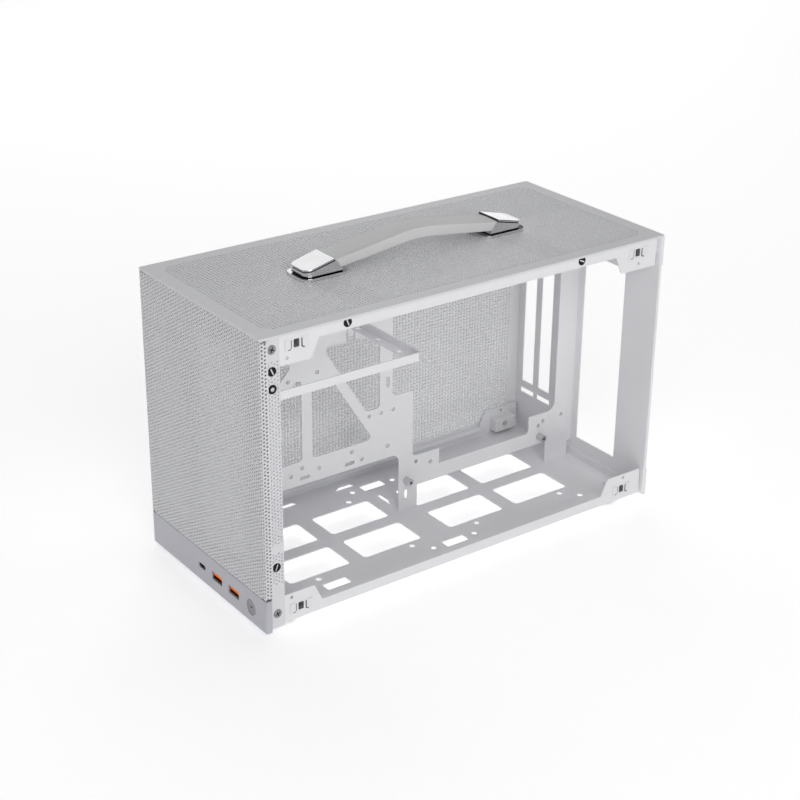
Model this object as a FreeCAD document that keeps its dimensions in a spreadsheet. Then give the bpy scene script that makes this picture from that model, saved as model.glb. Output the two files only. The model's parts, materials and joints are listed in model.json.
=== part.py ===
"""Mini-tower computer case in folded sheet, with a carrying strap and a lift-off side panel.

The case stands on z = 0. +X is its open side, -Y its front and +Y its rear.
"""
import FreeCAD, Part
import math
import os
import re
import Sketcher

# Driving dimensions, in millimetres
SIZES = (
    ("width", 158.0, "across the two side panels"),
    ("depth", 348.0, "front face to rear edge"),
    ("body_height", 214.0, "underside of the tray to the top of the cover"),
    ("foot_drop", 5.0, "height of the rubber feet"),
    ("foot_wide", 18.0, "foot diameter"),
    ("foot_inset", 19.0, "foot centre in from the side"),
    ("foot_front", 25.5, "front foot centre behind the front face"),
    ("foot_rear", 26.5, "rear foot centre before the rear edge"),
    ("foot_bevel", 1.2, "bevel of the foot's lower rim"),
    ("sheet_thick", 1.0, "chassis sheet"),
    ("cover_thick", 1.5, "top cover and side panel sheet"),
    ("side_recess", 3.5, "chassis side face inside the outer width"),
    ("rear_recess", 3.0, "rear wall before the rear edge"),
    ("bend_round", 1.8, "outside radius of a bend"),
    ("slit_gap", 0.5, "relief slit between neighbouring flanges"),
    ("panel_gap", 0.4, "clearance round the side panel"),
    # Front
    ("mesh_setback", 6.0, "front face to the front frame"),
    ("strip_inset", 1.0, "recessed side strip outside the chassis face"),
    ("strip_end", 16.2, "end of the side strip behind the front face"),
    ("band_height", 25.0, "solid band below the mesh"),
    ("band_thick", 1.5, "band sheet"),
    ("band_return", 4.5, "depth of the band's side return"),
    ("band_foot", 14.0, "depth of the band's lower flange"),
    ("seam_gap", 0.3, "seam between band and mesh"),
    ("frame_border", 16.0, "front frame border beside its windows"),
    ("frame_low", 40.0, "front frame border below its windows"),
    ("frame_high", 18.0, "front frame border above its windows"),
    ("mullion_wide", 18.0, "front frame bar at the dividing plate"),
    ("frame_flange", 10.0, "front frame upper and lower flanges"),
    # Ports
    ("port_level", 16.0, "height of the port row"),
    ("usb_c_inset", 86.3, "small port in from the open side"),
    ("usb_c_wide", 9.2, "small port shell width"),
    ("usb_c_tall", 3.4, "small port shell height"),
    ("usb_a_inset", 65.5, "first large port in from the open side"),
    ("usb_a_pitch", 22.6, "spacing of the large ports"),
    ("usb_a_wide", 13.2, "large port shell width"),
    ("usb_a_tall", 5.8, "large port shell height"),
    ("usb_a_tongue", 1.9, "tongue thickness"),
    ("port_wall", 0.4, "shell wall"),
    ("port_deep", 14.0, "shell depth"),
    ("port_block", 4.2, "plastic block at the back of a shell"),
    ("port_set", 0.7, "tongue behind the mouth of its shell"),
    ("usb_c_deep", 8.4, "small port depth"),
    ("usb_c_tongue", 0.9, "small tongue thickness"),
    ("tongue_wide", 10.8, "large tongue width"),
    ("usb_c_tongue_wide", 6.6, "small tongue width"),
    ("tongue_lift", 1.0, "large tongue above the port's middle"),
    ("port_gap", 0.2, "clearance round a port"),
    ("button_inset", 20.1, "power button in from the open side"),
    ("button_wide", 11.0, "power button diameter"),
    ("button_gap", 0.25, "clearance round the button"),
    ("button_rim", 1.0, "width and thickness of the retaining rim"),
    ("button_set", 0.2, "button face behind the band's face"),
    ("button_dish", 40.0, "radius of the dished face"),
    ("button_travel", 1.2, "press travel"),
    ("lamp_hole", 1.2, "pin hole in the middle of the button"),
    ("lamp_deep", 0.8, "depth of the pin hole"),
    ("switch_wide", 9.0, "switch body"),
    ("plunger_wide", 3.0, "switch plunger"),
    ("plunger_gap", 0.3, "plunger clear of the pressed button"),
    ("circuit_thick", 1.6, "port circuit board"),
    ("circuit_deep", 22.0, "port circuit board depth"),
    ("circuit_rim", 6.0, "board past the outer ports"),
    ("spacer_wide", 5.0, "board spacer diameter"),
    ("window_margin", 3.0, "port window beyond the ports"),
    # Side flanges and ears
    ("ear_front", 16.7, "front end of the side flanges behind the front face"),
    ("ear_long_front", 24.3, "plain length of a front ear"),
    ("ear_long_rear", 33.5, "plain length of a rear ear"),
    ("ear_slope", 6.0, "run of an ear's slanted edge"),
    ("ear_tall", 22.0, "height of an ear"),
    ("ear_round", 2.5, "rounding of an ear's corner"),
    ("rail_low", 9.0, "height of the tray's side rail"),
    ("rail_high", 8.5, "height of the top frame's side rail"),
    ("rail_lip", 5.0, "inward lip of the tray rail"),
    ("rear_lip", 7.0, "height of the tray's rear lip"),
    ("rear_hook", 12.0, "depth of the top frame's rear lip"),
    ("clip_front", 13.0, "clip centre from the front end of an ear"),
    ("clip_rear", 18.5, "clip centre from the rear end of an ear"),
    ("clip_level", 10.0, "clip centre in from the edge of the case"),
    ("ear_hole", 2.6, "small hole in an ear"),
    ("ear_hole_front", 7.3, "front ear's hole before the clip"),
    ("ear_hole_rear", 1.5, "rear ear's hole behind the clip"),
    ("ear_hole_rise", 8.8, "ear hole inward of the clip"),
    # Floor
    ("vent_long", 51.6, "floor opening, front to back"),
    ("vent_wide", 29.6, "floor opening, side to side"),
    ("vent_bar", 12.0, "bar between the two rows of openings"),
    ("vent_pitch", 64.05, "spacing of neighbouring openings"),
    ("vent_middle", 78.0, "spacing across the middle bar"),
    ("vent_shift", 1.4, "openings behind the middle of the floor"),
    ("vent_round", 3.0, "corner radius of a floor opening"),
    ("notch_long", 19.6, "rail notch length"),
    ("notch_wide", 8.5, "rail notch width"),
    ("notch_place", 53.3, "rail notch centre from the middle"),
    ("notch_pitch", 105.7, "spacing of the rail notches"),
    ("notch_shift", 5.8, "middle notch behind the middle of the floor"),
    ("emboss_long", 21.5, "pressed seat behind the notches, length"),
    ("emboss_shift", 111.0, "pressed seat behind the middle of the floor"),
    ("emboss_deep", 0.4, "depth of the pressed seat"),
    ("loop_long", 17.0, "lanced cable loop length"),
    ("loop_wide", 4.0, "lanced cable loop width"),
    ("loop_slit", 0.8, "slit beside a cable loop"),
    ("loop_run", 3.5, "sloped end of a cable loop"),
    ("loop_rise", 2.4, "rise of a cable loop"),
    ("loop_a_shift", -14.5, "first side loop from the middle of the floor"),
    ("loop_b_shift", -68.0, "second side loop from the middle of the floor"),
    ("loop_c_place", -21.0, "loop on the middle bar, inner end"),
    ("loop_c_shift", 2.0, "loop on the middle bar from the middle of the floor"),
    ("small_fan", 82.5, "hole square of a 92 mm fan"),
    ("large_fan", 105.0, "hole square of a 120 mm fan"),
    ("fan_spread", 71.5, "half the spacing of the two fans"),
    ("fan_shift", 5.4, "fans behind the middle of the floor"),
    ("fan_hole", 4.3, "fan screw hole"),
    # Top frame
    ("ring_wide", 10.0, "top frame border"),
    ("bridge_wide", 24.0, "top frame bar under a handle end"),
    ("bridge_place", 80.0, "handle end from the middle"),
    # Dividing plate and board
    ("plate_place", -7.3, "board side of the dividing plate"),
    ("standoff_tall", 6.5, "board standoff"),
    ("standoff_wide", 5.5, "standoff across flats"),
    ("standoff_bore", 2.5, "standoff bore"),
    ("board_back", 1.2, "board edge before the rear wall"),
    ("hole_back", 10.16, "upper rear board hole from the board edge"),
    ("hole_low_back", 33.02, "lower rear board hole from the board edge"),
    ("hole_span", 132.08, "lower board holes, front to back"),
    ("hole_rise", 157.48, "board holes, bottom to top"),
    ("hole_level", 25.0, "lower board holes above the floor"),
    ("plate_under", 49.0, "plate's lower edge above the floor, front part"),
    ("beam_under", 18.3, "lower beam's underside above the floor"),
    ("beam_top", 30.2, "lower beam's upper edge above the floor"),
    ("shelf_top", 43.2, "edge of the plate beside the beam, above the floor"),
    ("leg_place", 172.9, "front edge of the front leg before the rear wall"),
    ("leg_front", 17.1, "front leg length"),
    ("leg_rear", 23.0, "rear leg length"),
    ("leg_gap", 3.6, "rear leg before the rear wall"),
    ("leg_notch", 12.7, "height of the slit behind the rear leg"),
    ("post_wide", 18.8, "rear post before the rear wall"),
    ("post_foot", 45.3, "foot of the rear post before the rear wall"),
    ("panel_edge", 160.4, "rear edge of the tall panel before the rear wall"),
    ("panel_step", 135.0, "shelf beside the beam, before the rear wall"),
    ("panel_top", 98.5, "top of the tall panel above the floor"),
    ("bar_rear", 179.6, "rear edge of the upright bar before the rear wall"),
    ("bar_front", 191.1, "front edge of the upright bar before the rear wall"),
    ("strut_wide", 8.6, "front upright strut"),
    ("strut_place", 255.1, "middle of the front strut before the rear wall"),
    ("post_level", 44.4, "edge of the plate at the rear post's foot, above the floor"),
    ("truss_level", 68.0, "lower edge of the truss openings above the floor"),
    ("truss_top", 152.0, "upper edge of the truss openings above the floor"),
    ("truss_mid", 123.0, "upper edge of the middle opening above the floor"),
    ("brace_run", 37.8, "run of the long brace over the rear opening"),
    ("brace_foot", 203.3, "upper edge of the brace's foot before the rear wall"),
    ("brace_toe", 197.0, "lower edge of the brace's foot before the rear wall"),
    ("brace_level", 92.3, "lower edge of the rear opening above the floor"),
    ("gusset_top", 147.0, "upper edge of the front opening above the floor"),
    ("gusset_place", 265.0, "rear end of the front opening before the rear wall"),
    ("gusset_toe", 6.0, "lower edge of the short brace at the front border, over the truss"),
    ("gusset_wide", 11.0, "height of the short brace at the front border"),
    ("brace_hole", 10.8, "hole in the short brace before the strut"),
    ("gusset_foot", 136.0, "short brace at the strut, above the floor"),
    ("plate_front", 24.0, "front border of the plate behind the front face"),
    ("bay_top", 175.0, "upper edge of the large opening above the floor"),
    ("plate_flange", 12.0, "rear flange of the plate"),
    ("plate_round", 3.0, "corner radius of the plate's openings"),
    ("arch_round", 7.0, "corner radius beside the front leg"),
    ("plate_hole", 3.6, "fixing hole in the plate"),
    ("hole_a_back", 259.9, "fixing hole before the rear wall"),
    ("hole_a_up", 62.7, "the same hole above the floor"),
    ("hole_b_back", 245.2, "fixing hole before the rear wall"),
    ("hole_b_up", 58.4, "the same hole above the floor"),
    ("hole_c_back", 269.4, "fixing hole before the rear wall"),
    ("hole_c_up", 58.3, "the same hole above the floor"),
    ("hole_d_back", 216.1, "fixing hole before the rear wall"),
    ("hole_d_up", 63.0, "the same hole above the floor"),
    ("hole_e_back", 207.1, "fixing hole before the rear wall"),
    ("hole_e_up", 54.7, "the same hole above the floor"),
    ("hole_f_back", 200.8, "fixing hole before the rear wall"),
    ("hole_f_up", 87.8, "the same hole above the floor"),
    ("hole_g_back", 190.0, "fixing hole before the rear wall"),
    ("hole_g_up", 87.7, "the same hole above the floor"),
    ("hole_h_back", 179.1, "fixing hole before the rear wall"),
    ("hole_h_up", 88.0, "the same hole above the floor"),
    ("hole_i_back", 183.9, "fixing hole before the rear wall"),
    ("hole_i_up", 58.8, "the same hole above the floor"),
    ("hole_j_back", 157.1, "fixing hole before the rear wall"),
    ("hole_j_up", 38.0, "the same hole above the floor"),
    ("hole_k_back", 143.2, "fixing hole before the rear wall"),
    ("hole_k_up", 33.9, "the same hole above the floor"),
    ("hole_l_back", 11.4, "fixing hole before the rear wall"),
    ("hole_l_up", 38.4, "the same hole above the floor"),
    ("hole_m_back", 34.9, "fixing hole before the rear wall"),
    ("hole_m_up", 34.2, "the same hole above the floor"),
    ("hole_n_back", 30.4, "fixing hole before the rear wall"),
    ("hole_n_up", 37.3, "the same hole above the floor"),
    ("hole_o_back", 245.9, "fixing hole before the rear wall"),
    ("hole_o_up", 135.0, "the same hole above the floor"),
    ("tie_long", 8.8, "cable tie slot length"),
    ("tie_wide", 3.0, "cable tie slot width"),
    ("tie_a_back", 257.4, "cable tie slot before the rear wall"),
    ("tie_a_up", 54.3, "the same slot above the floor"),
    ("tie_b_back", 218.1, "cable tie slot before the rear wall"),
    ("tie_b_up", 54.0, "the same slot above the floor"),
    ("tie_c_back", 183.9, "cable tie slot before the rear wall"),
    ("tie_c_up", 111.2, "the same slot above the floor"),
    ("tie_d_back", 166.2, "cable tie slot before the rear wall"),
    ("tie_d_up", 12.2, "the same slot above the floor"),
    ("hook_place", 217.0, "notch for the supply bracket's tab before the rear wall"),
    ("hook_wide", 8.0, "notch width"),
    ("hook_tall", 7.6, "notch height over the rear truss opening"),
    # Supply bracket
    ("bracket_level", 165.5, "bracket above the floor"),
    ("bracket_tall", 6.2, "bracket strip height"),
    ("bracket_rear", 130.0, "bracket's rear bar behind the front face"),
    ("bracket_ledge", 9.0, "bracket's lower ledge"),
    ("bracket_sill", 6.8, "rear bar's lower ledge"),
    ("bracket_tab", 5.0, "bracket's tab on the plate"),
    ("bracket_drop", 9.5, "drop of the tab"),
    ("bracket_round", 4.0, "bend at the bracket's corner"),
    ("bracket_first", 12.8, "first hole of the rear bar from the dividing plate"),
    ("bracket_holes", 24.95, "spacing of the holes in the rear bar"),
    ("bracket_hole", 4.0, "hole in the rear bar's ledge"),
    ("bracket_hole_set", 3.2, "those holes before the rear bar"),
    # Rear wall
    ("shield_wide", 44.45, "connector aperture, across"),
    ("shield_tall", 158.75, "connector aperture, upright"),
    ("shield_under", 0.2, "aperture edge past the standoffs"),
    ("shield_level", 17.2, "aperture above the floor"),
    ("slot_inset", 8.4, "outer edge of the first card slot in from the far side"),
    ("slot_wide", 13.9, "card slot width"),
    ("slot_pitch", 20.32, "card slot pitch"),
    ("slot_level", 42.5, "card slot above the floor"),
    ("slot_tall", 107.0, "card slot height"),
    ("tab_slot_tall", 4.2, "tongue slot height"),
    ("tab_slot_drop", 6.3, "tongue slot below the card slot"),
    ("tab_slot_wide", 16.0, "tongue slot width"),
    ("wall_round", 0.9, "outside radius of the rear wall's bend"),
    ("wall_tab", 22.0, "deep end of the rear wall's side return"),
    ("wall_return", 2.0, "shallow side return of the rear wall"),
    # Clips and studs
    ("clip_long", 17.4, "clip pads, end to end"),
    ("clip_pad", 5.6, "clip pad length"),
    ("clip_tall", 8.2, "clip pad height"),
    ("clip_proud", 0.6, "clip pads out of the ear"),
    ("clip_gap", 0.4, "clearance round the pads in the ear"),
    ("clip_deep", 8.5, "clip body behind the ear"),
    ("clip_body", 10.6, "clip body height"),
    ("clip_body_long", 20.4, "clip body length"),
    ("clip_bore", 5.4, "clip socket"),
    ("clip_bevel", 2.0, "bevel of the pads' outer corners"),
    ("stud_head", 4.8, "stud head diameter"),
    ("stud_neck", 3.0, "stud neck diameter"),
    ("stud_tip", 2.4, "stud tip diameter"),
    ("stud_reach", 5.4, "stud neck length"),
    ("stud_flare", 1.6, "flared back of the stud head"),
    ("stud_nose", 2.2, "tapered nose of the stud head"),
    # Handle
    ("strap_wide", 22.6, "strap width"),
    ("strap_rise", 20.6, "strap crown above the cover"),
    ("strap_thick", 8.5, "strap thickness at the crown"),
    ("strap_end", 6.6, "strap height at its ends"),
    ("strap_radius", 122.0, "crown radius"),
    ("strap_round", 1.2, "strap edge rounding"),
    ("cap_wide", 23.0, "handle end block width"),
    ("cap_outer", 95.0, "outer end of the block from the middle"),
    ("cap_inner", 71.0, "upper inner edge of the block from the middle"),
    ("cap_toe", 64.0, "lower inner edge of the block from the middle"),
    ("cap_low", 5.2, "outer height of the block above the cover"),
    ("cap_high", 11.2, "inner height of the block above the cover"),
    ("cap_round", 6.0, "outer corner radius of the block"),
    ("base_wide", 27.0, "handle foot plate width"),
    ("base_outer", 97.5, "outer end of the foot plate from the middle"),
    ("base_inner", 58.5, "inner end of the foot plate from the middle"),
    ("base_thick", 2.0, "foot plate thickness"),
    ("base_round", 7.0, "foot plate corner radius"),
    # Screws
    ("screw_head", 6.4, "screw head diameter"),
    ("screw_tall", 0.5, "screw head height"),
    ("screw_slot", 1.0, "driving slot width"),
    ("screw_cut", 0.35, "driving slot depth"),
    ("screw_inset", 10.3, "side strip screws behind the front face"),
    ("screw_level_low", 10.8, "lowest strip screw above the tray"),
    ("screw_level_mid", 46.6, "second strip screw above the tray"),
    ("screw_level_bracket", 37.2, "bracket screw below the cover's top"),
    ("screw_level_upper", 24.9, "fourth strip screw below the cover's top"),
    ("screw_level_top", 9.9, "highest strip screw below the cover's top"),
    ("rail_screw_front", 69.0, "front rail screw behind the front face"),
    ("rail_screw_rear", 77.5, "rear rail screw before the rear edge"),
    ("rail_screw_drop", 5.2, "rail screw below the cover's top"),
)

doc = FreeCAD.newDocument("mini_tower_case")
sheet = doc.addObject("Spreadsheet::Sheet", "Sizes")
for row, (alias, amount, note) in enumerate(SIZES, start=1):
    sheet.set("A%d" % row, note)
    sheet.set("B%d" % row, str(amount))
    sheet.setAlias("B%d" % row, alias)
doc.recompute()
ALIASES = {alias for alias, amount, note in SIZES}

# Planes that several pieces share
OUTER = "(width / 2)"
SIDE = "(width / 2 - side_recess)"
SIDE_IN = "(width / 2 - side_recess - sheet_thick)"
STRIP = "(width / 2 - side_recess + strip_inset)"
FRONT = "(-depth / 2)"
REAR = "(depth / 2)"
WALL = "(depth / 2 - rear_recess)"
FRAME = "(-depth / 2 + mesh_setback)"
FRAME_IN = "(-depth / 2 + mesh_setback + sheet_thick)"
FLANGE_FRONT = "(-depth / 2 + ear_front)"
FLANGE_REAR = "(depth / 2 - rear_recess - sheet_thick - slit_gap)"
UNDER = "foot_drop"
FLOOR = "(foot_drop + sheet_thick)"
CROWN = "(foot_drop + body_height)"
COVER = "(foot_drop + body_height - cover_thick)"
RING = "(foot_drop + body_height - cover_thick - sheet_thick)"
BAND_TOP = "(foot_drop - sheet_thick + band_height)"
PLATE_FAR = "(plate_place - sheet_thick)"
USB_C = "(width / 2 - usb_c_inset)"
USB_A = "(width / 2 - usb_a_inset)"
BUTTON = "(width / 2 - button_inset)"

parts = []


def bound(text):
    """Point every size name in an expression at the sheet."""
    return re.sub(r"[a-z][a-z_]*", lambda m: "Sizes." + m[0] if m[0] in ALIASES else m[0], text)


def size(text):
    """The present value of an expression."""
    return float(sheet.evalExpression(bound(text)))


def keep(thing, label):
    """Name a finished sub-part."""
    thing.Label = label
    parts.append(thing)
    return thing


class Piece:
    """One body of pads, pockets and rounded edges, bound to the sheet."""

    def __init__(self, label):
        self.body = doc.addObject("PartDesign::Body", label)
        self.label = label
        keep(self.body, label)

    def drawing(self, role, level):
        """A sketch on the plane of the given role, at a level along its axis."""
        sketch = self.body.newObject("Sketcher::SketchObject", "Drawing")
        plane = next(item for item in self.body.Origin.OriginFeatures if item.Role == role)
        sketch.AttachmentSupport = [(plane, "")]
        sketch.MapMode = "FlatFace"
        sign = "-1 * " if role == "XZ_Plane" else ""
        sketch.setExpression("AttachmentOffset.Base.z", bound("%s(%s)" % (sign, level)))
        return sketch

    def pad(self, role, level, length, outlines=(), circles=(), cut=False):
        """Raise (or sink) closed outlines and circles from a level along the plane's axis."""
        sketch = self.drawing(role, level)
        draw(sketch, outlines, circles)
        kind = "PartDesign::Pocket" if cut else "PartDesign::Pad"
        feature = self.body.newObject(kind, "Cut" if cut else "Raise")
        feature.Profile = sketch
        feature.setExpression("Length", bound(length))
        feature.Reversed = (role == "XZ_Plane") != cut
        doc.recompute()
        return feature

    def round(self, axis, spots, radius):
        """Round the straight edges along an axis that pass through the given spots."""
        tip = self.body.Tip
        places = [(size(first), size(second)) for first, second in spots]
        names = []
        for number, edge in enumerate(tip.Shape.Edges, start=1):
            if len(edge.Vertexes) == 2 and edge_spot(edge, axis, places):
                names.append("Edge%d" % number)
        feature = self.body.newObject("PartDesign::Fillet", "Round")
        feature.Base = (tip, names)
        feature.setExpression("Radius", bound(radius))
        doc.recompute()
        return feature


def edge_spot(edge, axis, places):
    """True where an edge runs along the axis through one of the places."""
    start, end = (vertex.Point for vertex in edge.Vertexes)
    others = [index for index in range(3) if index != axis]
    if any(abs(start[index] - end[index]) > 1e-6 for index in others):
        return False
    spot = [start[index] for index in others]
    return any(abs(spot[0] - u) < 1e-4 and abs(spot[1] - v) < 1e-4 for u, v in places)


def draw(sketch, outlines, circles):
    """Add closed outlines and circles, with every corner and centre tied to the sheet."""
    shapes, rules, amounts = [], [], []

    def fix(kind, number, point, text):
        amounts.append((len(rules), text))
        rules.append(Sketcher.Constraint(kind, -1, 1, number, point, size(text)))

    for corners in outlines:
        points = [FreeCAD.Vector(size(u), size(v), 0) for u, v in corners]
        first = len(shapes)
        count = len(points)
        for index, (u, v) in enumerate(corners):
            number = first + index
            shapes.append(Part.LineSegment(points[index], points[(index + 1) % count]))
            rules.append(Sketcher.Constraint("Coincident", number, 2, first + (index + 1) % count, 1))
            fix("DistanceX", number, 1, u)
            fix("DistanceY", number, 1, v)
    for u, v, across in circles:
        number = len(shapes)
        centre = FreeCAD.Vector(size(u), size(v), 0)
        shapes.append(Part.Circle(centre, FreeCAD.Vector(0, 0, 1), size(across) / 2))
        fix("DistanceX", number, 3, u)
        fix("DistanceY", number, 3, v)
        amounts.append((len(rules), across))
        rules.append(Sketcher.Constraint("Diameter", number, size(across)))
    sketch.addGeometry(shapes, False)
    sketch.addConstraint(rules)
    for number, text in amounts:
        sketch.setExpression("Constraints[%d]" % number, bound(text))


def rect(left, right, low, high):
    """The four corners of an upright rectangle."""
    return [(left, low), (right, low), (right, high), (left, high)]


def around(centre_u, centre_v, wide, tall):
    """A rectangle about its centre."""
    return rect("%s - %s / 2" % (centre_u, wide), "%s + %s / 2" % (centre_u, wide),
                "%s - %s / 2" % (centre_v, tall), "%s + %s / 2" % (centre_v, tall))


def solid(kind, **sizes):
    """A Part primitive whose sizes and place are bound to the sheet."""
    thing = doc.addObject("Part::" + kind, kind)
    turn = sizes.pop("turn", None)
    if turn:
        thing.Placement.Rotation = turn
    for name, text in sizes.items():
        prop = "Placement.Base." + name if name in ("x", "y", "z") else name
        thing.setExpression(prop, bound(text))
    return thing


def cut(base, tool):
    """The base with the tool taken away."""
    result = doc.addObject("Part::Cut", "Cut")
    result.Base = base
    result.Tool = tool
    return result


def fuse(*things):
    """Things joined in one solid."""
    result = doc.addObject("Part::MultiFuse", "Join")
    result.Shapes = list(things)
    return result


def group(label, things):
    """Like things that stay separate solids in one sub-part."""
    result = doc.addObject("Part::Compound", "Group")
    result.Links = list(things)
    return keep(result, label)


ALONG_X = FreeCAD.Rotation(FreeCAD.Vector(0, 1, 0), 90)
ALONG_Y = FreeCAD.Rotation(FreeCAD.Vector(1, 0, 0), -90)
SIDES = (("near", "1"), ("far", "-1"))


def ear_outline(edge, inward, tall, rail):
    """A side flange with an ear at each end, as (y, z) corners from the case edge inwards."""
    top = "(%s %s %s)" % (edge, inward, tall)
    lip = "(%s %s %s)" % (edge, inward, rail)
    front = "(%s + ear_long_front)" % FLANGE_FRONT
    rear = "(%s - ear_long_rear)" % FLANGE_REAR
    return [(FLANGE_FRONT, edge), (FLANGE_REAR, edge), (FLANGE_REAR, top), (rear, top),
            (rear + " - ear_slope", lip), (front + " + ear_slope", lip), (front, top), (FLANGE_FRONT, top)]


def clip_spots():
    """The places of the four clips on one side: name, y and z."""
    front = "(%s + clip_front)" % FLANGE_FRONT
    rear = "(%s - clip_rear)" % FLANGE_REAR
    low = "(%s + clip_level)" % UNDER
    high = "(%s - clip_level)" % CROWN
    return (("front_lower", front, low), ("rear_lower", rear, low),
            ("front_upper", front, high), ("rear_upper", rear, high))


def clip_holes(level):
    """The clip slots of a flange, for its lower or upper pair of clips."""
    return [around(y, z, "(clip_long + 2 * clip_gap)", "(clip_tall + 2 * clip_gap)")
            for name, y, z in clip_spots() if level in name]


def side_flange(piece, edge, inward, tall, rail, level):
    """Both side flanges of a folded sheet, with their ears, holes and rounded corners."""
    outline = ear_outline(edge, inward, tall, rail)
    holes = []
    for name, y, z in clip_spots():
        if level in name:
            shift = "- ear_hole_front" if "front" in name else "+ ear_hole_rear"
            holes.append(("%s %s" % (y, shift), "%s %s ear_hole_rise" % (z, inward), "ear_hole"))
    for start in (SIDE_IN, "-1 * " + SIDE):
        piece.pad("YZ_Plane", start, "sheet_thick", [outline] + clip_holes(level), holes)
    piece.round(0, [outline[3], outline[6]], "ear_round")


def vent_spots():
    """Centres of the floor openings."""
    middle = "vent_shift"
    offsets = ("- vent_middle / 2 - vent_pitch", "- vent_middle / 2",
               "+ vent_middle / 2", "+ vent_middle / 2 + vent_pitch")
    rows = ("-(vent_bar + vent_wide) / 2", "(vent_bar + vent_wide) / 2")
    return [(row, "%s %s" % (middle, offset)) for row in rows for offset in offsets]


def fan_holes():
    """Screw holes of two fans in line, in both common sizes."""
    spots = []
    for square in ("small_fan", "large_fan"):
        for fan in ("-1", "1"):
            for u in ("-1", "1"):
                for v in ("-1", "1"):
                    x = "%s * %s / 2" % (u, square)
                    y = "fan_shift + %s * fan_spread + %s * %s / 2" % (fan, v, square)
                    spots.append((x, y, "fan_hole"))
    return spots


def cable_loops():
    """The lanced cable loops: centre, the plane their outline lies in, and their slit in the floor.

    The side loops lie midway between the fan holes and the far side.
    """
    slit = "(loop_wide + 2 * loop_slit)"
    side = "(-1 * (large_fan / 2 + fan_hole / 2 + %s) / 2)" % SIDE_IN
    return [(side, "loop_a_shift", "YZ_Plane", "loop_long", slit),
            (side, "loop_b_shift", "YZ_Plane", "loop_long", slit),
            ("(loop_c_place - loop_long / 2)", "loop_c_shift", "XZ_Plane", "loop_long", slit)]


def loop_outline(middle):
    """A flat-topped arch of sheet that rises out of the floor."""
    ends = ["%s - loop_long / 2" % middle, "%s + loop_long / 2" % middle]
    tops = [ends[0] + " + loop_run", ends[1] + " - loop_run"]
    return [(ends[0], UNDER), (tops[0], UNDER + " + loop_rise"), (tops[1], UNDER + " + loop_rise"),
            (ends[1], UNDER), (ends[1], FLOOR), (tops[1], FLOOR + " + loop_rise"),
            (tops[0], FLOOR + " + loop_rise"), (ends[0], FLOOR)]


def bottom_tray():
    """Floor, side rails with lips and ears, and a rear lip, folded from one sheet."""
    tray = Piece("bottom_tray")
    floor = [("-1 * " + SIDE_IN, FRAME), (SIDE_IN, FRAME), (SIDE_IN, FLANGE_FRONT), (SIDE, FLANGE_FRONT),
             (SIDE, FLANGE_REAR), (SIDE_IN, FLANGE_REAR), (SIDE_IN, WALL), ("-1 * " + SIDE_IN, WALL),
             ("-1 * " + SIDE_IN, FLANGE_REAR), ("-1 * " + SIDE, FLANGE_REAR),
             ("-1 * " + SIDE, FLANGE_FRONT), ("-1 * " + SIDE_IN, FLANGE_FRONT)]
    vents = [around(x, y, "vent_wide", "vent_long") for x, y in vent_spots()]
    notches = [around("%s * notch_place" % side, "notch_shift - %s * notch_pitch" % step,
                      "notch_wide", "notch_long")
               for name, side in SIDES for step in ("0", "1")]
    loops = cable_loops()
    slits = [around(x, y, *((long, wide) if role == "XZ_Plane" else (wide, long)))
             for x, y, role, long, wide in loops]
    tray.pad("XY_Plane", UNDER, "sheet_thick", [floor] + vents + notches + slits, fan_holes())
    tray.round(2, [corner for vent in vents for corner in vent], "vent_round")
    side_flange(tray, UNDER, "+", "ear_tall", "rail_low", "lower")
    for name, side in SIDES:
        inner = "%s * (%s - rail_lip)" % (side, SIDE_IN)
        tray.pad("XY_Plane", UNDER + " + rail_low - sheet_thick", "sheet_thick",
                 [rect(inner, "%s * %s" % (side, SIDE_IN), FLANGE_FRONT + " + ear_long_front + ear_slope",
                       FLANGE_REAR + " - ear_long_rear - ear_slope")])
    tray.pad("XZ_Plane", WALL + " - sheet_thick", "sheet_thick",
             [rect("-1 * " + SIDE_IN, SIDE_IN, FLOOR, UNDER + " + rear_lip")])
    tray.pad("XY_Plane", FLOOR + " - emboss_deep", "emboss_deep",
             [around("notch_place", "emboss_shift", "notch_wide", "emboss_long")], cut=True)
    for x, y, role, long, wide in loops:
        along, across = (x, y) if role == "XZ_Plane" else (y, x)
        tray.pad(role, "%s - loop_wide / 2" % across, "loop_wide", [loop_outline(along)])
    tray.round(1, [(SIDE, UNDER), ("-1 * " + SIDE, UNDER)], "bend_round")


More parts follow.
